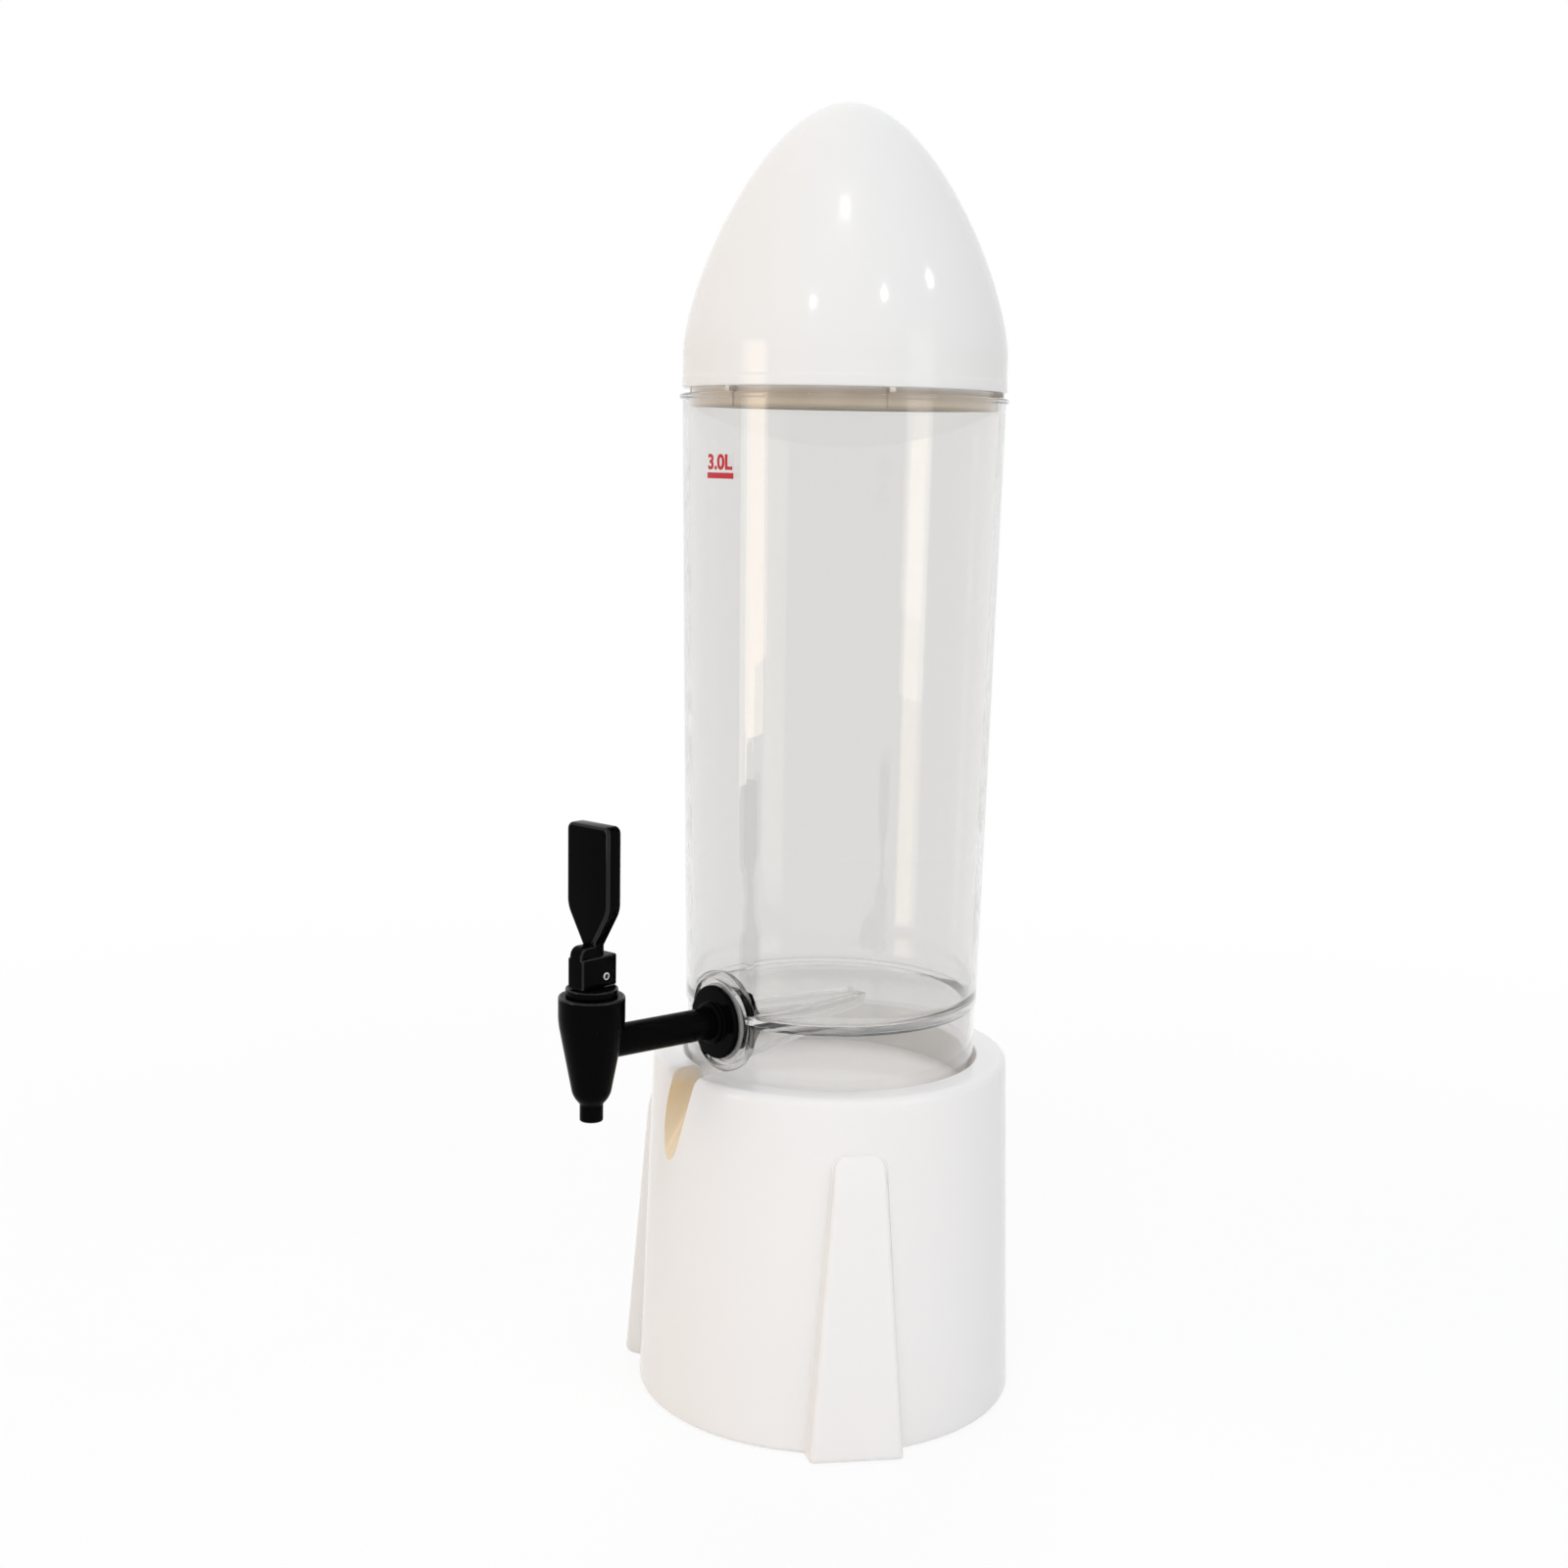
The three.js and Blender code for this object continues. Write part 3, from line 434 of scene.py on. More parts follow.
def height_mask(material, clear_at, full_at, patchy):
    """A mask that grows from one height to another, broken up by patches."""
    nodes, links = material.node_tree.nodes, material.node_tree.links
    place = nodes.new("ShaderNodeTexCoord")
    apart = nodes.new("ShaderNodeSeparateXYZ")
    grown = nodes.new("ShaderNodeMapRange")
    grown.interpolation_type = "SMOOTHSTEP"
    grown.inputs["From Min"].default_value = clear_at * MM
    grown.inputs["From Max"].default_value = full_at * MM
    patches = nodes.new("ShaderNodeTexNoise")
    patches.inputs["Scale"].default_value = 60
    patches.inputs["Detail"].default_value = 4
    spread = nodes.new("ShaderNodeMapRange")
    spread.inputs["To Min"].default_value = 1 - patchy
    both = nodes.new("ShaderNodeMath")
    both.operation = "MULTIPLY"
    links.new(place.outputs["Object"], apart.inputs[0])
    links.new(place.outputs["Object"], patches.inputs["Vector"])
    links.new(apart.outputs["Z"], grown.inputs["Value"])
    links.new(patches.outputs["Fac"], spread.inputs["Value"])
    links.new(grown.outputs["Result"], both.inputs[0])
    links.new(spread.outputs["Result"], both.inputs[1])
    return both.outputs[0]


white_abs, white_shader = plastic("white_abs", (0.86, 0.85, 0.85), (0.84, 0.80, 0.77), 0.5,
                                  0.11, 0.06, 1.0, 0.03, 0.00012)
white_shader.inputs["IOR"].default_value = 1.53

# Painted shade: the notch's groove is coloured tan to stand for the warm shade inside it, and fades to
# near white towards the rim.
notch_painted_shade, notch_shade_shader = plastic("notch_painted_shade_abs", (0.86, 0.70, 0.48), (0.88, 0.78, 0.62), 0.7,
                                       0.2, 0.1, 1.0, 0.03, 0.00012)
mixed_in(notch_painted_shade, height_mask(notch_painted_shade, 145, 153, 0.2), (0.86, 0.82, 0.76))
notch_shade_shader.inputs["IOR"].default_value = 1.53

base = finned_solid("base_moulding", [
    (0, 0.4), (FOOT_RADIUS, 0.4, 2.5),
    (RIM_RADIUS, BASE_TOP, 3.5), (SOCKET_RADIUS, BASE_TOP, 1.2),
    (SOCKET_RADIUS, SOCKET_FLOOR), (0, SOCKET_FLOOR),
], 0, fin_rows(6, FIN_TOP))
hollow = finned_solid("hollow", [
    (0, -2), (FOOT_RADIUS - BASE_WALL, -2),
    (RIM_RADIUS - BASE_WALL, BASE_TOP - BASE_WALL, 3), (SOCKET_RADIUS + BASE_WALL, BASE_TOP - BASE_WALL),
    (SOCKET_RADIUS + BASE_WALL, SOCKET_FLOOR - BASE_WALL), (0, SOCKET_FLOOR - BASE_WALL),
], BASE_WALL, fin_rows(6, FIN_TOP - BASE_WALL))
kept = [notch_cutter(BASE_WALL), turned_solid("hub", [
    (HUB_BORE, WEB_BOTTOM), (HUB_RADIUS, WEB_BOTTOM), (HUB_RADIUS, WEB_TOP), (HUB_BORE, WEB_TOP),
], 64)]
for index in range(6):
    web = swept_solid("web", [
        (HUB_BORE + 0.5, WEB_BOTTOM), (FOOT_RADIUS, WEB_BOTTOM),
        (FOOT_RADIUS, WEB_TOP), (HUB_BORE + 0.5, WEB_TOP),
    ], 2)
    web.data.transform(Matrix.Rotation(math.radians(60 * index), 4, "Z"))
    kept.append(web)
posts = []
pockets = []
for index in range(3):
    posts.append(round_bar("post", POST_RADIUS, -2, POST_HEIGHT, 48, pad_place(index)))
    pockets.append(round_bar("pocket", POCKET_RADIUS, -3, POCKET_DEPTH, 48, pad_place(index)))
combine(hollow, "DIFFERENCE", *kept, *posts)
wear(base, white_abs)
# The groove's cutter passes its painted-shade colour onto the faces it cuts.
notch = notch_cutter(0)
wear(notch, notch_painted_shade)
combine(base, "DIFFERENCE", hollow, notch, *pockets)
base.data.transform(TOWER)
shade(base, 28)
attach(base, "base")
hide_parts("base_shell")


# Foot pads. Three rubber discs with a turned edge, glued in the pockets under the fins, so that
# they stand 0.4 mm proud of the moulding and keep the tower from sliding.
rubber, rubber_shader = plastic("black_rubber", (0.022, 0.022, 0.023), (0.06, 0.058, 0.055), 0.7,
                                0.55, 0.2, 0.4, 1.0, 0.00008)
rubber_shader.inputs["Specular IOR Level"].default_value = 0.35
for index, name in enumerate(("rear", "left", "right")):
    pad = turned_solid(f"pad_{name}", [
        (0, 0), (PAD_RADIUS, 0, 0.6), (PAD_RADIUS, PAD_THICKNESS, 0.3), (0, PAD_THICKNESS),
    ], 64, place=TOWER @ pad_place(index))
    shade(pad)
    wear(pad, rubber)
    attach(pad, "base")
    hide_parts(f"foot_pad_{name}")


# Vessel. One clear polycarbonate moulding: a tapered tube with a beaded lip over a floor, a skirt that
# stands in the base's socket, a flat seat sunk into the wall for the tap, and a channel under the floor
# that leads the last of the drink to the tap.
SKIRT_BOTTOM = 140.3
SKIRT_INSIDE = 61.6
SKIRT_OUTSIDE = 64.4
FLOOR_BOTTOM = 177
WALL_BOTTOM = 179
WALL_FOOT = 65.2
FLOOR_TOP = 180
INSIDE_FOOT = 62.4
WALL_TOP = 440.8
WALL_HEAD = 69.5
LIP_INSIDE = 66.7
LIP_OUTSIDE = 70.9
LIP_TOP = 443.3
TAP_HEIGHT = 176.3
SEAT = 61
SEAT_WALL = 3
SEAT_RADIUS = 19.2
BACKING_RADIUS = 22
SHANK_HOLE = 7.2
CHANNEL_END = -12
CHANNEL_NARROW = 5
CHANNEL_WIDE = 16.6
CHANNEL_WALL = 3
TROUGH_REACH = 64.8
TROUGH_FOOT = 141
ALONG_TAP = Matrix.Translation((0, 0, TAP_HEIGHT * MM)) @ Matrix.Rotation(math.pi / 2, 4, "X")

vessel = turned_solid("vessel_moulding", [
    (0, FLOOR_BOTTOM), (SKIRT_INSIDE, FLOOR_BOTTOM),
    (SKIRT_INSIDE, SKIRT_BOTTOM, 1), (SKIRT_OUTSIDE, SKIRT_BOTTOM, 1),
    (SKIRT_OUTSIDE, WALL_BOTTOM), (WALL_FOOT, WALL_BOTTOM, 0.3),
    (WALL_HEAD, WALL_TOP), (LIP_OUTSIDE, WALL_TOP, 1.1),
    (LIP_OUTSIDE, LIP_TOP, 1.1), (LIP_INSIDE, LIP_TOP, 1.1),
    (INSIDE_FOOT, FLOOR_TOP, 6), (0, FLOOR_TOP),
], 180, 8)
trough = turned_solid("trough", [
    (0, CHANNEL_END - CHANNEL_WALL), (CHANNEL_NARROW + CHANNEL_WALL, CHANNEL_END - CHANNEL_WALL, 2),
    (CHANNEL_WIDE + CHANNEL_WALL, SEAT), (0, SEAT),
], 96, place=ALONG_TAP)
combine(trough, "INTERSECT", round_bar("under", TROUGH_REACH, TROUGH_FOOT, FLOOR_TOP - 0.1, 180))
backing = turned_solid("backing", [
    (0, SEAT - SEAT_WALL), (BACKING_RADIUS, SEAT - SEAT_WALL, 1), (BACKING_RADIUS, SEAT), (0, SEAT),
], 96, place=ALONG_TAP)
channel = turned_solid("channel", [
    (0, CHANNEL_END), (CHANNEL_NARROW, CHANNEL_END, 1.5),
    (CHANNEL_WIDE, SEAT - SEAT_WALL), (0, SEAT - SEAT_WALL),
], 96, place=ALONG_TAP)
recess = round_bar("recess", SEAT_RADIUS, SEAT, SEAT + 11, 128, ALONG_TAP)
hole = round_bar("hole", SHANK_HOLE, SEAT - 11, SEAT + 5, 64, ALONG_TAP)
combine(vessel, "UNION", trough, backing)
combine(vessel, "DIFFERENCE", channel, recess, hole)
vessel.data.transform(TOWER)
shade(vessel, 30)
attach(vessel, "vessel")
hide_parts("vessel")

clear_pc, clear_shader = plastic("clear_polycarbonate", (0.835, 0.83, 0.82), (1, 1, 1), 0,
                                 0.012, 0.02, 1.0, 0.0, 0.000004, tinted=False)
clear_shader.inputs["Transmission Weight"].default_value = 1
clear_shader.inputs["IOR"].default_value = 1.25
clear_shader.inputs["Coat Weight"].default_value = 1
clear_shader.inputs["Coat Roughness"].default_value = 0.01
clear_shader.inputs["Coat IOR"].default_value = 1.5
wear(vessel, clear_pc)
vessel.visible_shadow = False


# Graduation. The three litre line and its figure, screen-printed in red ink on the outside of the vessel
# near the top, a little to one side of the tap.
def wall_radius(height):
    """Outside radius of the vessel's tapered wall at a height."""
    return WALL_FOOT + (WALL_HEAD - WALL_FOOT) * (height - WALL_BOTTOM) / (WALL_TOP - WALL_BOTTOM)


def wrap_print(mesh):
    """Lays a flat print, in millimetres across and up, round the outside of the vessel."""
    for vert in mesh.vertices:
        across, height, out = vert.co
        radius = wall_radius(height) + 0.02 + out
        turn = across / wall_radius(height)
        vert.co = Vector((radius * math.sin(turn), -radius * math.cos(turn), height)) * MM
    mesh.transform(TOWER)


red_ink = plastic("red_ink", (0.55, 0.004, 0.012), (0.35, 0.002, 0.01), 0.5,
                  0.3, 0.1, 0.5, 1.0, 0.00003)[0]
PRINT_CENTRE = 3.9
FIGURE_WIDTH = 15.6
FIGURE_TALL = 6.5
FIGURE_FOOT = 411.6
LINE_WIDTH = 16.7
LINE_TALL = 2.4
LINE_HEIGHT = 409.3
LINE_THICKNESS = 0.06

text = bpy.data.curves.new("figure", "FONT")
text.body = "3.0L"
text.size = 8.9
text.offset = 0.34
text.extrude = 0.03
text.align_x = "CENTER"
figure_source = new_object("figure_source", text)
figure_text = figure_source.evaluated_get(bpy.context.evaluated_depsgraph_get())
figure_mesh = bpy.data.meshes.new_from_object(figure_text)
bpy.data.objects.remove(figure_source)
lows = [min(v.co[i] for v in figure_mesh.vertices) for i in range(2)]
highs = [max(v.co[i] for v in figure_mesh.vertices) for i in range(2)]
figure_mesh.transform(Matrix.Translation((-(lows[0] + highs[0]) / 2, -lows[1], 0)))
wider = FIGURE_WIDTH / (highs[0] - lows[0])
taller = FIGURE_TALL / (highs[1] - lows[1])
figure_mesh.transform(Matrix.Diagonal((wider, taller, 1, 1)))
figure_mesh.transform(Matrix.Translation((PRINT_CENTRE, FIGURE_FOOT, 0)))
wrap_print(figure_mesh)
figure = new_object("litre_figure", figure_mesh)

bm = bmesh.new()
bar = (Matrix.Translation((PRINT_CENTRE, LINE_HEIGHT, 0))
       @ Matrix.Diagonal((LINE_WIDTH, LINE_TALL, LINE_THICKNESS, 1)))
bmesh.ops.create_cube(bm, size=1, matrix=bar)
long_edges = [e for e in bm.edges if abs(e.verts[0].co.x - e.verts[1].co.x) > 1]
bmesh.ops.subdivide_edges(bm, edges=long_edges, cuts=15, use_grid_fill=True)
line = finished_mesh("litre_line", bm)
wrap_print(line.data)
for obj in (figure, line):
    shade(obj)
    wear(obj, red_ink)
    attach(obj, "vessel")


# Cap. One white ABS moulding like an egg's end, with a short plug that hangs in the vessel's mouth. Six
# ribs centre the plug and hold the edge a little off the lip, so that air gets in as the drink runs out.
EDGE = 445.6
APEX = 565.1
CAP_RADIUS = 69.7
CAP_WALL = 2.4
BAND_TOP = EDGE + 14.3
BAND_STEP = 0.2
PLUG_INSIDE = 63.3
PLUG_OUTSIDE = 65.5
PLUG_FOOT = EDGE - 8.6
RIB_TURN = 6.6
RIB_WIDTH = 2.4
RIB_INSIDE = 64.4
RIB_TOP = 446.8
RIB_AT_LIP = (69.1, 443.6)
RIB_AT_PLUG = (66.4, 437.6)


def dome(radius, apex, steps=40):
    """Points of one smooth curve from the crown on the axis down to the straight band."""
    rise = apex - BAND_TOP
    points = []
    for step in range(steps + 1):
        t = step / steps
        crown = (1 - t) ** 3
        crown_pull = 3 * t * (1 - t) ** 2
        shoulder_pull = 3 * t ** 2 * (1 - t)
        shoulder = t ** 3
        across = radius * (0.512 * crown_pull + shoulder_pull + shoulder)
        height = BAND_TOP + rise * (crown + crown_pull + 0.27 * shoulder_pull)
        points.append((across, height))
    return points


cap = turned_solid("cap_moulding", [
    *dome(CAP_RADIUS - CAP_WALL, APEX - CAP_WALL),
    (CAP_RADIUS - CAP_WALL, EDGE + CAP_WALL), (PLUG_INSIDE, EDGE + CAP_WALL),
    (PLUG_INSIDE, PLUG_FOOT, 0.6), (PLUG_OUTSIDE, PLUG_FOOT, 0.6), (PLUG_OUTSIDE, EDGE),
    (CAP_RADIUS, EDGE, 0.9), (CAP_RADIUS, EDGE + 4.4, 0.6), (CAP_RADIUS - BAND_STEP, EDGE + 5.2, 0.6),
    *reversed(dome(CAP_RADIUS - BAND_STEP, APEX)),
], 180)
ribs = []
for index in range(6):
    turn = Matrix.Rotation(math.radians(RIB_TURN + 60 * index - 90), 4, "Z")
    for reach, low in (RIB_AT_LIP, RIB_AT_PLUG):
        corners = [(RIB_INSIDE, low), (reach, low), (reach, RIB_TOP), (RIB_INSIDE, RIB_TOP)]
        ribs.append(swept_solid("rib", corners, RIB_WIDTH, place=turn))
combine(cap, "UNION", *ribs)
cap.data.transform(TOWER)
shade(cap, 28)
cap_abs, cap_shader = plastic("cap_abs", (0.85, 0.845, 0.84), (0.85, 0.82, 0.79), 0.5,
                              0.11, 0.06, 1.0, 0.03, 0.00012)
cap_shader.inputs["IOR"].default_value = 1.53
# Painted shade: the plug below the cap's edge is coloured warm amber for the shade it hangs in, and
# darker still lower down.
mixed_in(cap_abs, height_mask(cap_abs, EDGE + 1, EDGE - 3, 0.45), (0.52, 0.385, 0.235))
mixed_in(cap_abs, height_mask(cap_abs, EDGE - 6.5, EDGE - 8.2, 0.4), (0.30, 0.26, 0.17))
wear(cap, cap_abs)
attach(cap, "cap")
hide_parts("cap")


# Tap clamp. A black flange and hub, a milky silicone gasket against the seat, and inside the vessel a
# rubber gasket, a slip washer and a nut; the shank runs through them all and the nut pulls them tight.
def mark_edges(obj):
    """Marks the narrow faces of rounded edges, which handling keeps brighter than the rest."""
    widest = 0.6
    least_turn = 14
    shine = 0.5
    bm = bmesh.new()
    bm.from_mesh(obj.data)
    layer = bm.faces.layers.float.new("edge")
    for face in bm.faces:
        longest = max(edge.calc_length() for edge in face.edges)
        turn = max(edge.calc_face_angle(0) for edge in face.edges if edge.calc_length() > longest / 2)
        narrow = face.calc_area() < widest * MM * longest and turn > math.radians(least_turn)
        face[layer] = shine * narrow
    bm.to_mesh(obj.data)
    bm.free()
    return obj


black_abs, black_shader = plastic("black_abs", (0.0015, 0.0015, 0.0016), (0.004, 0.0038, 0.0035), 0.35,
                                  0.05, 0.08, 1.0, 0.05, 0.00006)
black_shader.inputs["Specular IOR Level"].default_value = 0.02
edge_marks = black_abs.node_tree.nodes.new("ShaderNodeAttribute")
edge_marks.attribute_name = "edge"
black_abs.node_tree.links.new(edge_marks.outputs["Fac"], black_shader.inputs["Coat Weight"])
black_shader.inputs["Coat Roughness"].default_value = 0.04
silicone, silicone_shader = plastic("milky_silicone", (0.80, 0.80, 0.78), (0.9, 0.9, 0.9), 0,
                                    0.22, 0.1, 1.0, 0.3, 0.00006, tinted=False)
silicone_shader.inputs["Transmission Weight"].default_value = 0.75
silicone_shader.inputs["IOR"].default_value = 1.41


def ring(radius, start, end, edge):
    """Outline of a flat ring round the shank, its outer edges rounded."""
    return [(SHANK_HOLE, start), (radius, start, edge), (radius, end, edge), (SHANK_HOLE, end)]


FLANGE_RADIUS = 15.9
FLANGE_BACK = 63.2
FLANGE_FRONT = 65.9
HUB_END = 68.9
clamp = [
    ("flange", "tap_flange", black_abs, "black_abs", [
        (SHANK_HOLE, FLANGE_BACK), (FLANGE_RADIUS, FLANGE_BACK, 0.9), (FLANGE_RADIUS, FLANGE_FRONT, 0.9),
        (9, FLANGE_FRONT, 0.7), (9, HUB_END, 1.2), (SHANK_HOLE, HUB_END)]),
    ("gasket_outer", "flange_gasket", silicone, "silicone", ring(16.6, 61.3, 62.9, 0.5)),
    ("gasket_inner", "inner_gasket", rubber, "rubber", ring(12.6, 56.1, 57.7, 0.4)),
    ("washer_slip", "slip_washer", black_abs, "black_abs", ring(13.2, 54.8, 55.8, 0.2)),
]
for name, node, material, slot, corners in clamp:
    piece = turned_solid(name, corners, 96, place=TOWER @ ALONG_TAP)
    shade(piece)
    wear(piece, material)
    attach(piece, "vessel")
    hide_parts(node)

NUT_RADIUS = 14
NUT_THICKNESS = 5
NUT_MIDDLE = 52
sixths = [math.radians(60 * index) for index in range(6)]
hexagon = [(NUT_RADIUS * math.cos(turn), NUT_RADIUS * math.sin(turn), 0.87) for turn in sixths]
nut = swept_solid("nut_lock", hexagon, NUT_THICKNESS)
nut.data.transform(Matrix.Rotation(-math.pi / 2, 4, "X"))
combine(nut, "DIFFERENCE", round_bar("nut_bore", SHANK_HOLE, -4, 4))
nut.data.transform(TOWER @ ALONG_TAP @ Matrix.Translation((0, 0, NUT_MIDDLE * MM)))
shade(nut)
wear(nut, black_abs)
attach(nut, "vessel")
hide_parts("lock_nut")


# Tap body. One black ABS moulding: a tapered valve body with a short spout below and a plain shank that
# runs into the vessel. The bonnet screws into its top and shows as a collar with a rounded edge.
TAP_REACH = 127.6
SHANK_RADIUS = 6.9
SHANK_LENGTH = 80.6
PASSAGE_RADIUS = 4.5
BODY_RADIUS = 13.9
BODY_TOP = 21.2
SPOUT_RADIUS = 4.9
SPOUT_BORE = 3.4
SPOUT_FOOT = -32.1
CHAMBER_RADIUS = 6.8
CHAMBER_TOP = 10.4
BONNET_SOCKET = 10.5
BONNET_RADIUS = 10.2
BONNET_BORE = 7.2
COLLAR_RADIUS = 10.9
COLLAR_FOOT = 21.5
COLLAR_TOP = 24.7
STEM_HOLE = 2.9
TAP = TOWER @ Matrix.Translation((0, -TAP_REACH * MM, TAP_HEIGHT * MM))

tap_body = turned_solid("tap_moulding", [
    (0, SPOUT_FOOT), (SPOUT_RADIUS, SPOUT_FOOT, 0.5), (SPOUT_RADIUS, -24.9, 0.6), (7.9, -21.3, 2.2),
    (BODY_RADIUS, 10.1, 3), (BODY_RADIUS, BODY_TOP, 0.9), (0, BODY_TOP),
], 128)
shank = turned_solid("shank", [
    (0, 0), (SHANK_RADIUS, 0), (SHANK_RADIUS, SHANK_LENGTH, 0.5), (0, SHANK_LENGTH),
], 96)
shank.data.transform(Matrix.Rotation(-math.pi / 2, 4, "X"))
passage = round_bar("passage", PASSAGE_RADIUS, 0, SHANK_LENGTH + 3.4)
passage.data.transform(Matrix.Rotation(-math.pi / 2, 4, "X"))
chamber = turned_solid("chamber", [
    (0, -34), (SPOUT_BORE, -34), (SPOUT_BORE, -14.3), (CHAMBER_RADIUS, -12.09),
    (CHAMBER_RADIUS, CHAMBER_TOP), (BONNET_SOCKET, CHAMBER_TOP), (BONNET_SOCKET, 24), (0, 24),
], 96)
combine(tap_body, "UNION", shank)
combine(tap_body, "DIFFERENCE", chamber, passage)
tap_body.data.transform(TAP)
shade(mark_edges(tap_body), 30)

bonnet = turned_solid("bonnet_collar", [
    (STEM_HOLE, 18.7), (BONNET_BORE, 18.7), (BONNET_BORE, 10.7), (BONNET_RADIUS, 10.7, 0.3),
    (BONNET_RADIUS, 12.2), (8.5, 12.2), (8.5, 14.2), (BONNET_RADIUS, 14.2),
    (BONNET_RADIUS, COLLAR_FOOT), (COLLAR_RADIUS, COLLAR_FOOT, 0.3),
    (COLLAR_RADIUS, COLLAR_TOP, 0.6), (STEM_HOLE, COLLAR_TOP, 0.3),
    (STEM_HOLE, 22.55), (4.3, 22.55), (4.3, 20.85), (STEM_HOLE, 20.85),
], 96, place=TAP)
shade(mark_edges(bonnet))
for obj, node in ((tap_body, "tap_body"), (bonnet, "bonnet")):
    wear(obj, black_abs)
    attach(obj, "vessel")
    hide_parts(node)


# Valve parts inside the tap: rubber rings, a grey silicone seat cup, a stainless washer and the return
# spring, which shortens as the stem lifts. They are hidden, so the plain solids wear the finish.
grey_silicone = plastic("grey_silicone", (0.26, 0.26, 0.245), (0.35, 0.35, 0.33), 0.5,
                        0.4, 0.15, 0.5, 0.6, 0.00006)[0]


def drawn_steel(name, stretch):
    """Stainless steel with fine lines left by drawing or turning."""
    material, nodes, links, shader = new_material(name)
    place = nodes.new("ShaderNodeTexCoord")
    spread = nodes.new("ShaderNodeMapping")
    spread.inputs["Scale"].default_value = stretch
    lines = nodes.new("ShaderNodeTexNoise")
    lines.inputs["Scale"].default_value = 900
    lines.inputs["Detail"].default_value = 3
    level = nodes.new("ShaderNodeMapRange")
    level.inputs["To Min"].default_value = 0.12
    level.inputs["To Max"].default_value = 0.34
    tone = nodes.new("ShaderNodeValToRGB")
    tone.color_ramp.elements[0].color = (0.50, 0.49, 0.47, 1)
    tone.color_ramp.elements[1].color = (0.74, 0.73, 0.71, 1)
    relief = nodes.new("ShaderNodeBump")
    relief.inputs["Distance"].default_value = 0.00002
    links.new(place.outputs["Object"], spread.inputs["Vector"])
    links.new(spread.outputs["Vector"], lines.inputs["Vector"])
    links.new(lines.outputs["Fac"], level.inputs["Value"])
    links.new(lines.outputs["Fac"], tone.inputs["Fac"])
    links.new(lines.outputs["Fac"], relief.inputs["Height"])
    links.new(level.outputs["Result"], shader.inputs["Roughness"])
    links.new(tone.outputs["Color"], shader.inputs["Base Color"])
    links.new(relief.outputs["Normal"], shader.inputs["Normal"])
    shader.inputs["Metallic"].default_value = 1
    return material


steel = drawn_steel("stainless_steel", (1, 1, 0.2))
for node, material in (("bonnet_o_ring", rubber), ("stem_o_ring", rubber), ("seat_cup", grey_silicone),
                       ("spring_washer", steel), ("return_spring", steel)):
    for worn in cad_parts[node].material_slots:
        worn.material = material
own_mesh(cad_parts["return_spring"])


# Stem. A black ABS rod that carries the seat cup below and, above the bonnet, a tongue with a boss round
# the pin, which the lever's foot straddles. Tongue and lever stand turned a little about the tap body.
PIN_BACK = 3.9
PIN_HEIGHT = 29.3
PIN_HOLE = 2
HEAD_TURN = 10.6
ROD_FOOT = 11.55
ROD_RADIUS = 2.6
BUTTON_RADIUS = 3.6
NECK_RADIUS = 2
SHOULDER_RADIUS = 5.4
FORWARD = Matrix.Rotation(-math.pi / 2, 4, "Z")
HEAD = TAP @ Matrix.Rotation(math.radians(HEAD_TURN), 4, "Z")
AT_PIN = Matrix.Translation((0, PIN_BACK * MM, PIN_HEIGHT * MM))
ACROSS = Matrix.Rotation(math.pi / 2, 4, "Y")

tongue = swept_solid("tongue", [(0, -4.3), (6.5, -4.3), (6.5, 2.6), (0, 3.4)], 5, place=FORWARD)
boss = turned_solid("boss", [(0, -2.5), (3.4, -2.5, 0.3), (3.4, 2.5, 0.3), (0, 2.5)], 64, place=ACROSS)
combine(tongue, "UNION", boss)
tongue.data.transform(AT_PIN)
stem = turned_solid("stem_rod", [
    (0, -ROD_FOOT), (BUTTON_RADIUS, -ROD_FOOT), (BUTTON_RADIUS, -9.45), (NECK_RADIUS, -9.45),
    (NECK_RADIUS, -6.95), (SHOULDER_RADIUS, -6.95), (SHOULDER_RADIUS, -5.45), (ROD_RADIUS, -5.45),
    (ROD_RADIUS, PIN_HEIGHT), (0, PIN_HEIGHT),
], 64)
stem_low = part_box("stem")[0].z - TAP_HEIGHT * MM
stem.data.transform(Matrix.Translation((0, 0, stem_low + ROD_FOOT * MM)))
combine(stem, "UNION", tongue)
combine(stem, "DIFFERENCE", round_bar("pin_hole", PIN_HOLE, -6, 6, 48, AT_PIN @ ACROSS))
stem.data.transform(HEAD)
shade(mark_edges(stem), 30)
wear(stem, black_abs)
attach(stem, "stem")
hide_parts("stem")


# Lever. A black ABS paddle on a foot whose two cheeks straddle the stem's tongue; the toe bears on the
# bonnet in front of the rod, so that pulling the paddle lifts the stem.
TOE = 13.2
PADDLE_HALF = 12.2
PADDLE_SHOULDER = 28.4
PADDLE_TOP = 63.4
foot = swept_solid("foot", [
    (-6, -4.3), (TOE, -4.3, 0.7), (TOE, 8.8, 0.8), (-6, 8.8, 0.8),
], 9, 6, place=FORWARD, edge=0.7)
middle = swept_solid("middle", [
    (0.1, 0), (TOE, 0), (TOE, 13.4, 4), (5.7, 13.4), (5.7, 18), (0.1, 18),
], 7, 10, place=FORWARD, edge=0.7)
lever_slot = swept_solid("lever_slot", [
    (-8, -6.3), (8.78, -6.3), (8.78, 4.97), (-8, 4.97),
], 5.8, place=FORWARD)
lever = swept_solid("lever_paddle", [
    (-2, 11.6), (2, 11.6), (PADDLE_HALF, PADDLE_SHOULDER, 3), (PADDLE_HALF, PADDLE_TOP, 3),
    (-PADDLE_HALF, PADDLE_TOP, 3), (-PADDLE_HALF, PADDLE_SHOULDER, 3),
], 7.6, 8, edge=1.2)
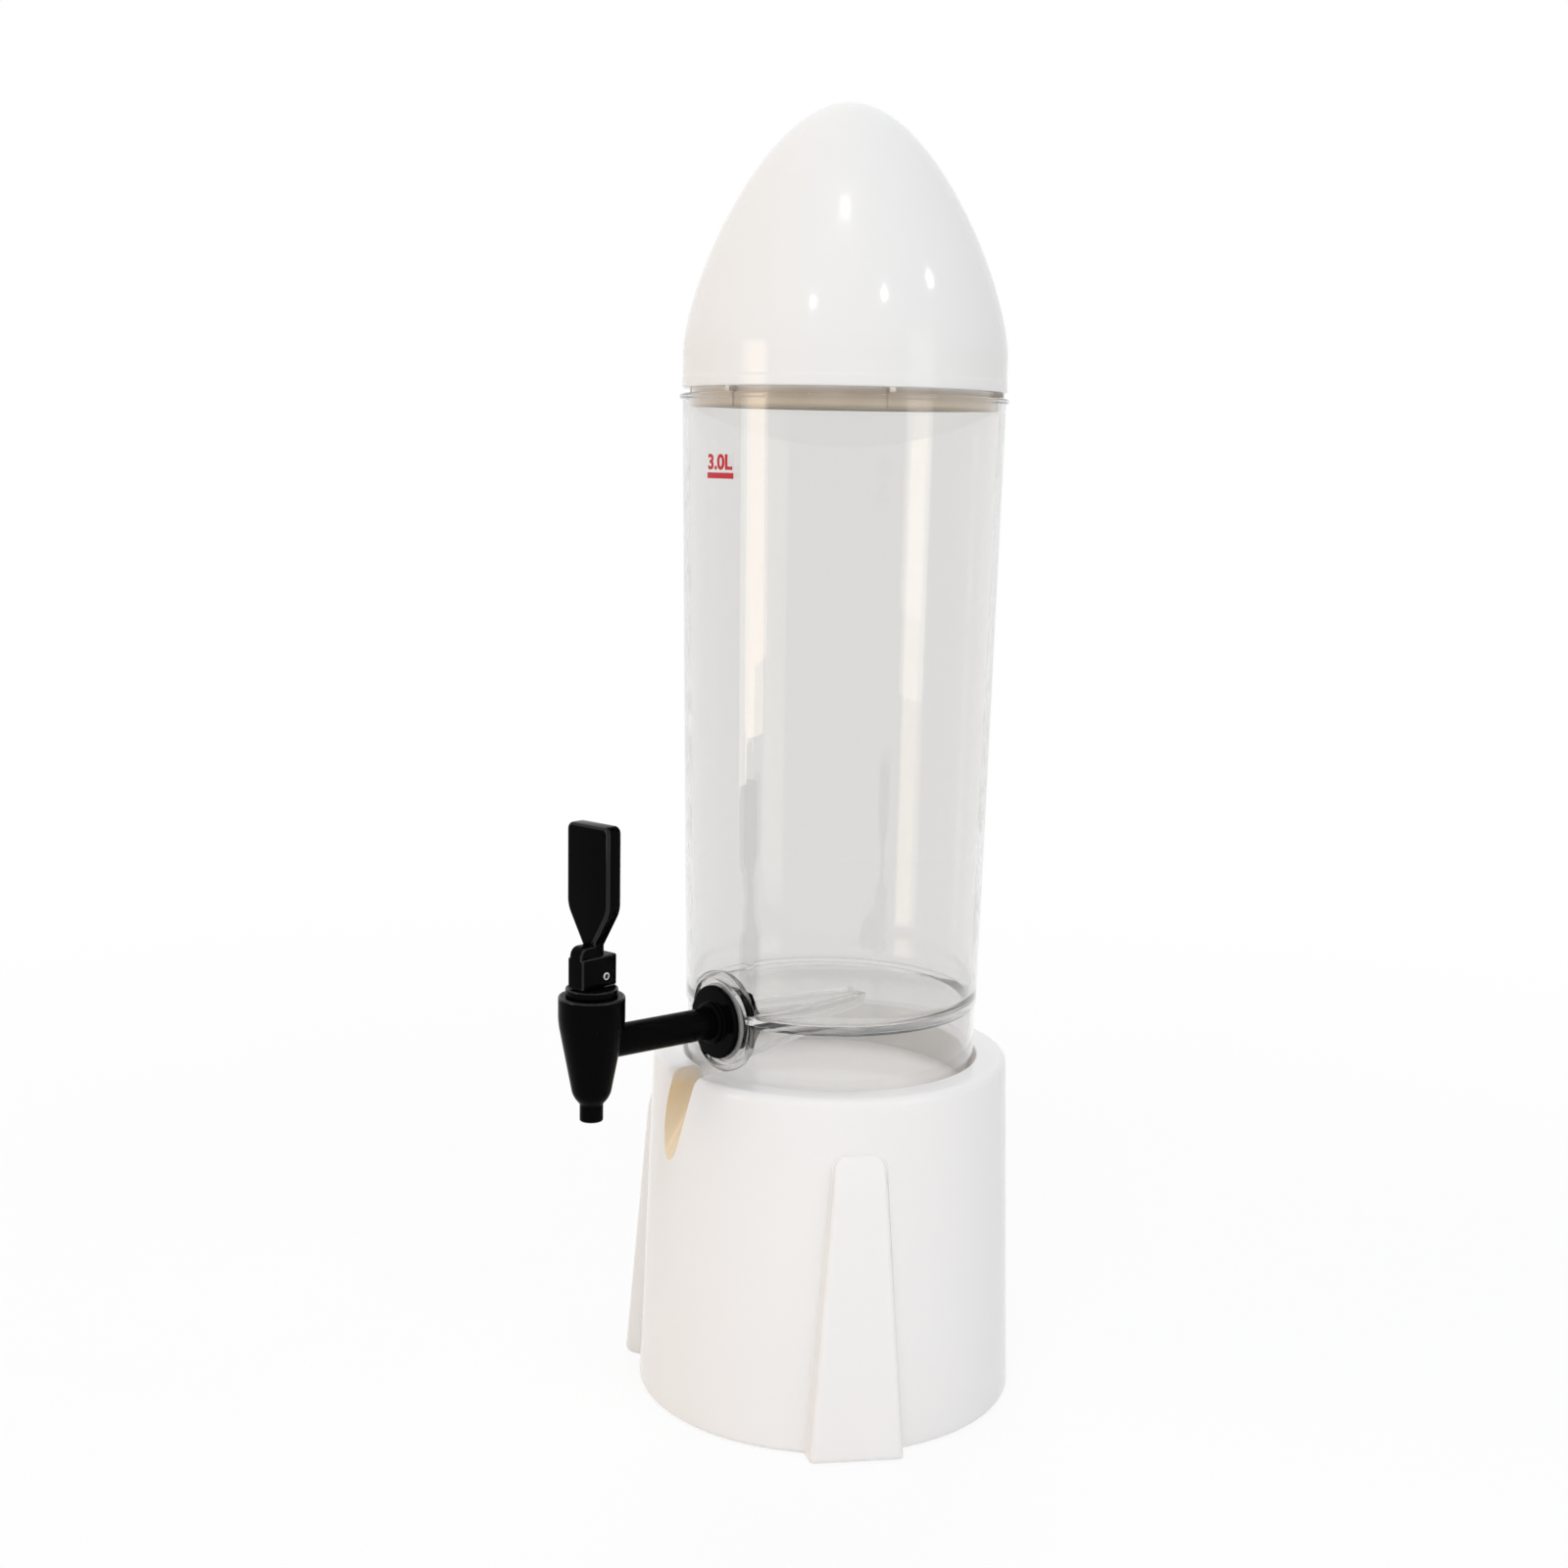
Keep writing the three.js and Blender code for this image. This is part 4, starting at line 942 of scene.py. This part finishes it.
lever.data.transform(Matrix.Translation((0, (1 - PIN_BACK) * MM, 0)))
combine(lever, "UNION", foot, middle)
combine(lever, "DIFFERENCE", lever_slot, round_bar("lever_hole", PIN_HOLE, -6, 6, 48, ACROSS))
lever.data.transform(HEAD @ AT_PIN)
shade(mark_edges(lever), 30)
wear(lever, black_abs)
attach(lever, "lever")
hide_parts("lever")


# Lever pin. A tube rolled from stainless strip and pressed through both cheeks of the lever's foot, with
# its ends just proud of them. The lever turns on the stem with it.
pin = turned_solid("pin_tube", [
    (1, -4.7, 0.1), (1.7, -4.7, 0.25), (1.7, 4.7, 0.25), (1, 4.7, 0.1),
], 48, place=HEAD @ AT_PIN @ ACROSS)
shade(pin)
wear(pin, steel)
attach(pin, "stem")
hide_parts("lever_pin")


# Studio. A white table that runs out of sight, and a white surround that only camera, gloss and glass
# see. Daylight comes from above, warm windows stand on the tap's side and a pale one on the other, soft
# lamps level the light, and small ones high up make the points of light on the cap.
PHI = math.radians(50.3)


def surround_rays(nodes, links):
    """1 for the rays that see the surround, 0 for the light that falls on surfaces."""
    rays = nodes.new("ShaderNodeLightPath")
    first = nodes.new("ShaderNodeMath")
    second = nodes.new("ShaderNodeMath")
    first.operation = second.operation = "MAXIMUM"
    links.new(rays.outputs["Is Camera Ray"], first.inputs[0])
    links.new(rays.outputs["Is Glossy Ray"], first.inputs[1])
    links.new(first.outputs[0], second.inputs[0])
    links.new(rays.outputs["Is Transmission Ray"], second.inputs[1])
    return second.outputs[0]


world = bpy.data.worlds.new("studio")
bpy.context.scene.world = world
world.use_nodes = True
nodes, links = world.node_tree.nodes, world.node_tree.links
seen = nodes["Background"]
seen.inputs["Color"].default_value = (1, 1, 1, 1)
seen.inputs["Strength"].default_value = 1
ambient = nodes.new("ShaderNodeBackground")
ambient.inputs["Color"].default_value = (0.95, 0.975, 1, 1)
toward = nodes.new("ShaderNodeTexCoord")
upward = nodes.new("ShaderNodeSeparateXYZ")
overhead = nodes.new("ShaderNodeMapRange")
overhead.inputs["To Min"].default_value = 0.25
overhead.inputs["To Max"].default_value = 0.72
rightward = nodes.new("ShaderNodeVectorMath")
rightward.operation = "DOT_PRODUCT"
rightward.inputs[1].default_value = (math.cos(PHI), math.sin(PHI), 0)
sideways = nodes.new("ShaderNodeMapRange")
sideways.inputs["From Min"].default_value = -1
sideways.inputs["To Min"].default_value = 1.15
sideways.inputs["To Max"].default_value = 0.65
daylight = nodes.new("ShaderNodeMath")
daylight.operation = "MULTIPLY"
links.new(toward.outputs["Generated"], upward.inputs[0])
links.new(upward.outputs["Z"], overhead.inputs["Value"])
links.new(toward.outputs["Generated"], rightward.inputs[0])
links.new(rightward.outputs["Value"], sideways.inputs["Value"])
links.new(overhead.outputs["Result"], daylight.inputs[0])
links.new(sideways.outputs["Result"], daylight.inputs[1])
links.new(daylight.outputs[0], ambient.inputs["Strength"])
choice = nodes.new("ShaderNodeMixShader")
links.new(surround_rays(nodes, links), choice.inputs["Fac"])
links.new(ambient.outputs["Background"], choice.inputs[1])
links.new(seen.outputs["Background"], choice.inputs[2])
links.new(choice.outputs["Shader"], nodes["World Output"].inputs["Surface"])

bm = bmesh.new()
bmesh.ops.create_circle(bm, cap_ends=True, segments=96, radius=30)
floor = finished_mesh("table_top", bm)
table = bpy.data.materials.new("table_top")
table.use_nodes = True
nodes, links = table.node_tree.nodes, table.node_tree.links
nodes.remove(nodes["Principled BSDF"])
paint = nodes.new("ShaderNodeBsdfDiffuse")
paint.inputs["Color"].default_value = (0.9, 0.9, 0.9, 1)
glow = nodes.new("ShaderNodeEmission")
glow.inputs["Strength"].default_value = 1
place = nodes.new("ShaderNodeTexCoord")
distance = nodes.new("ShaderNodeVectorMath")
distance.operation = "LENGTH"
fade = nodes.new("ShaderNodeMapRange")
fade.interpolation_type = "SMOOTHSTEP"
fade.inputs["From Min"].default_value = 0.3
fade.inputs["From Max"].default_value = 1.2
fade.inputs["To Min"].default_value = 0.86
fade.inputs["To Max"].default_value = 1
share = nodes.new("ShaderNodeMath")
share.operation = "MULTIPLY"
both = nodes.new("ShaderNodeMixShader")
links.new(place.outputs["Object"], distance.inputs[0])
links.new(distance.outputs["Value"], fade.inputs["Value"])
links.new(fade.outputs["Result"], share.inputs[0])
links.new(surround_rays(nodes, links), share.inputs[1])
links.new(share.outputs[0], both.inputs["Fac"])
links.new(paint.outputs["BSDF"], both.inputs[1])
links.new(glow.outputs["Emission"], both.inputs[2])
links.new(both.outputs["Shader"], nodes["Material Output"].inputs["Surface"])
wear(floor, table)


def window(name, azimuth, middle, width, height, radiance, colour):
    """An upright soft lamp at an azimuth counted from the tap's side, in metres."""
    distance = 1.5
    turn = math.radians(azimuth)
    spot = TOWER @ Vector((distance * math.sin(turn), -distance * math.cos(turn), middle))
    facing = Vector((-math.sin(turn), math.cos(turn), 0))
    lamp_at(name, spot, facing, width, height, radiance, colour)


def lamp_at(name, spot, facing, width, height, radiance, colour):
    """A rectangular lamp whose surface looks as bright as its radiance."""
    lamp = bpy.data.lights.new(name, "AREA")
    lamp.shape = "RECTANGLE"
    lamp.size = width
    lamp.size_y = height
    lamp.energy = radiance * math.pi * width * height
    lamp.color = colour
    obj = new_object(name, lamp)
    obj.matrix_world = Matrix.Translation(spot) @ facing.to_track_quat("-Z", "Y").to_matrix().to_4x4()
    return obj


def spot_lamp(name, azimuth, elevation, size, radiance):
    """A small lamp high up that faces the cap, for the points of light in the gloss."""
    distance = 1.6
    turn, lift = math.radians(azimuth), math.radians(elevation)
    toward = Vector((math.cos(lift) * math.sin(turn), -math.cos(lift) * math.cos(turn), math.sin(lift)))
    target = TOWER @ Vector((0, 0, 0.48))
    lamp_at(name, target + distance * toward, -toward, size, size, radiance, (1, 1, 1))


window("window_warm_far", -22, 0.36, 0.12, 0.72, 1.4, (1, 0.95, 0.88))
window("window_warm_near", -12, 0.36, 0.38, 0.72, 2.6, (1, 0.80, 0.60))
window("window_pale", 104, 0.5, 0.5, 0.9, 1, (1, 0.94, 0.88))
for name, spot, width, height, radiance, colour in (
        ("front_low", (0.64, -0.24, 0.12), 0.7, 0.2, 1.6, (1, 1, 1)),
        ("warm_side", (-1.1, -1.3, 0.7), 1, 1, 0.9, (1, 0.6, 0.25)),
        ("back_high", (-1.2, 1, 1.7), 1.2, 1.2, 2.4, (0.93, 0.97, 1)),
        ("front_high", (0.81, -0.78, 2.4), 0.9, 0.9, 7.6, (0.97, 0.985, 1))):
    stand = Vector(spot)
    lamp = lamp_at(name, TOWER @ stand, -stand, width, height, radiance, colour)
    lamp.visible_glossy = False
    lamp.visible_camera = False
    lamp.visible_transmission = False
spot_lamp("globe", 46, 60, 0.22, 3.5)
spot_lamp("downlight_left", 25, 31, 0.06, 45)
spot_lamp("downlight_middle", 80, 34, 0.07, 55)
spot_lamp("downlight_right", 122, 34, 0.07, 55)


# Camera. Seen from 50 degrees round from the tap and nine degrees above, at about 0.9 metre. Its place
# and turns were solved from the photo's ellipses. Clear plastic needs many bounces to stay clear.
CAMERA_REACH = 0.9061
CAMERA_HEIGHT = 0.4184
CAMERA_ASIDE = 0.0252
CAMERA_DOWN = 0.1578
CAMERA_ROLL = 0.0184
camera_data = bpy.data.cameras.new("camera")
camera_data.sensor_width = 36
camera_data.lens = 47.56
camera_data.clip_end = 100
camera = new_object("camera", camera_data)
standing = TOWER @ Vector((CAMERA_REACH * math.sin(PHI), -CAMERA_REACH * math.cos(PHI), CAMERA_HEIGHT))
turning = (Matrix.Rotation(PHI, 4, "Z") @ Matrix.Rotation(CAMERA_ASIDE, 4, "Z")
           @ Matrix.Rotation(-CAMERA_DOWN, 4, "X") @ Matrix.Rotation(-CAMERA_ROLL, 4, "Y")
           @ Matrix.Rotation(math.pi / 2, 4, "X"))
camera.matrix_world = Matrix.Translation(standing) @ turning
bpy.context.scene.camera = camera
bpy.context.scene.view_settings.view_transform = "Standard"
bpy.context.scene.cycles.max_bounces = 32
bpy.context.scene.cycles.glossy_bounces = 16
bpy.context.scene.cycles.transmission_bounces = 24
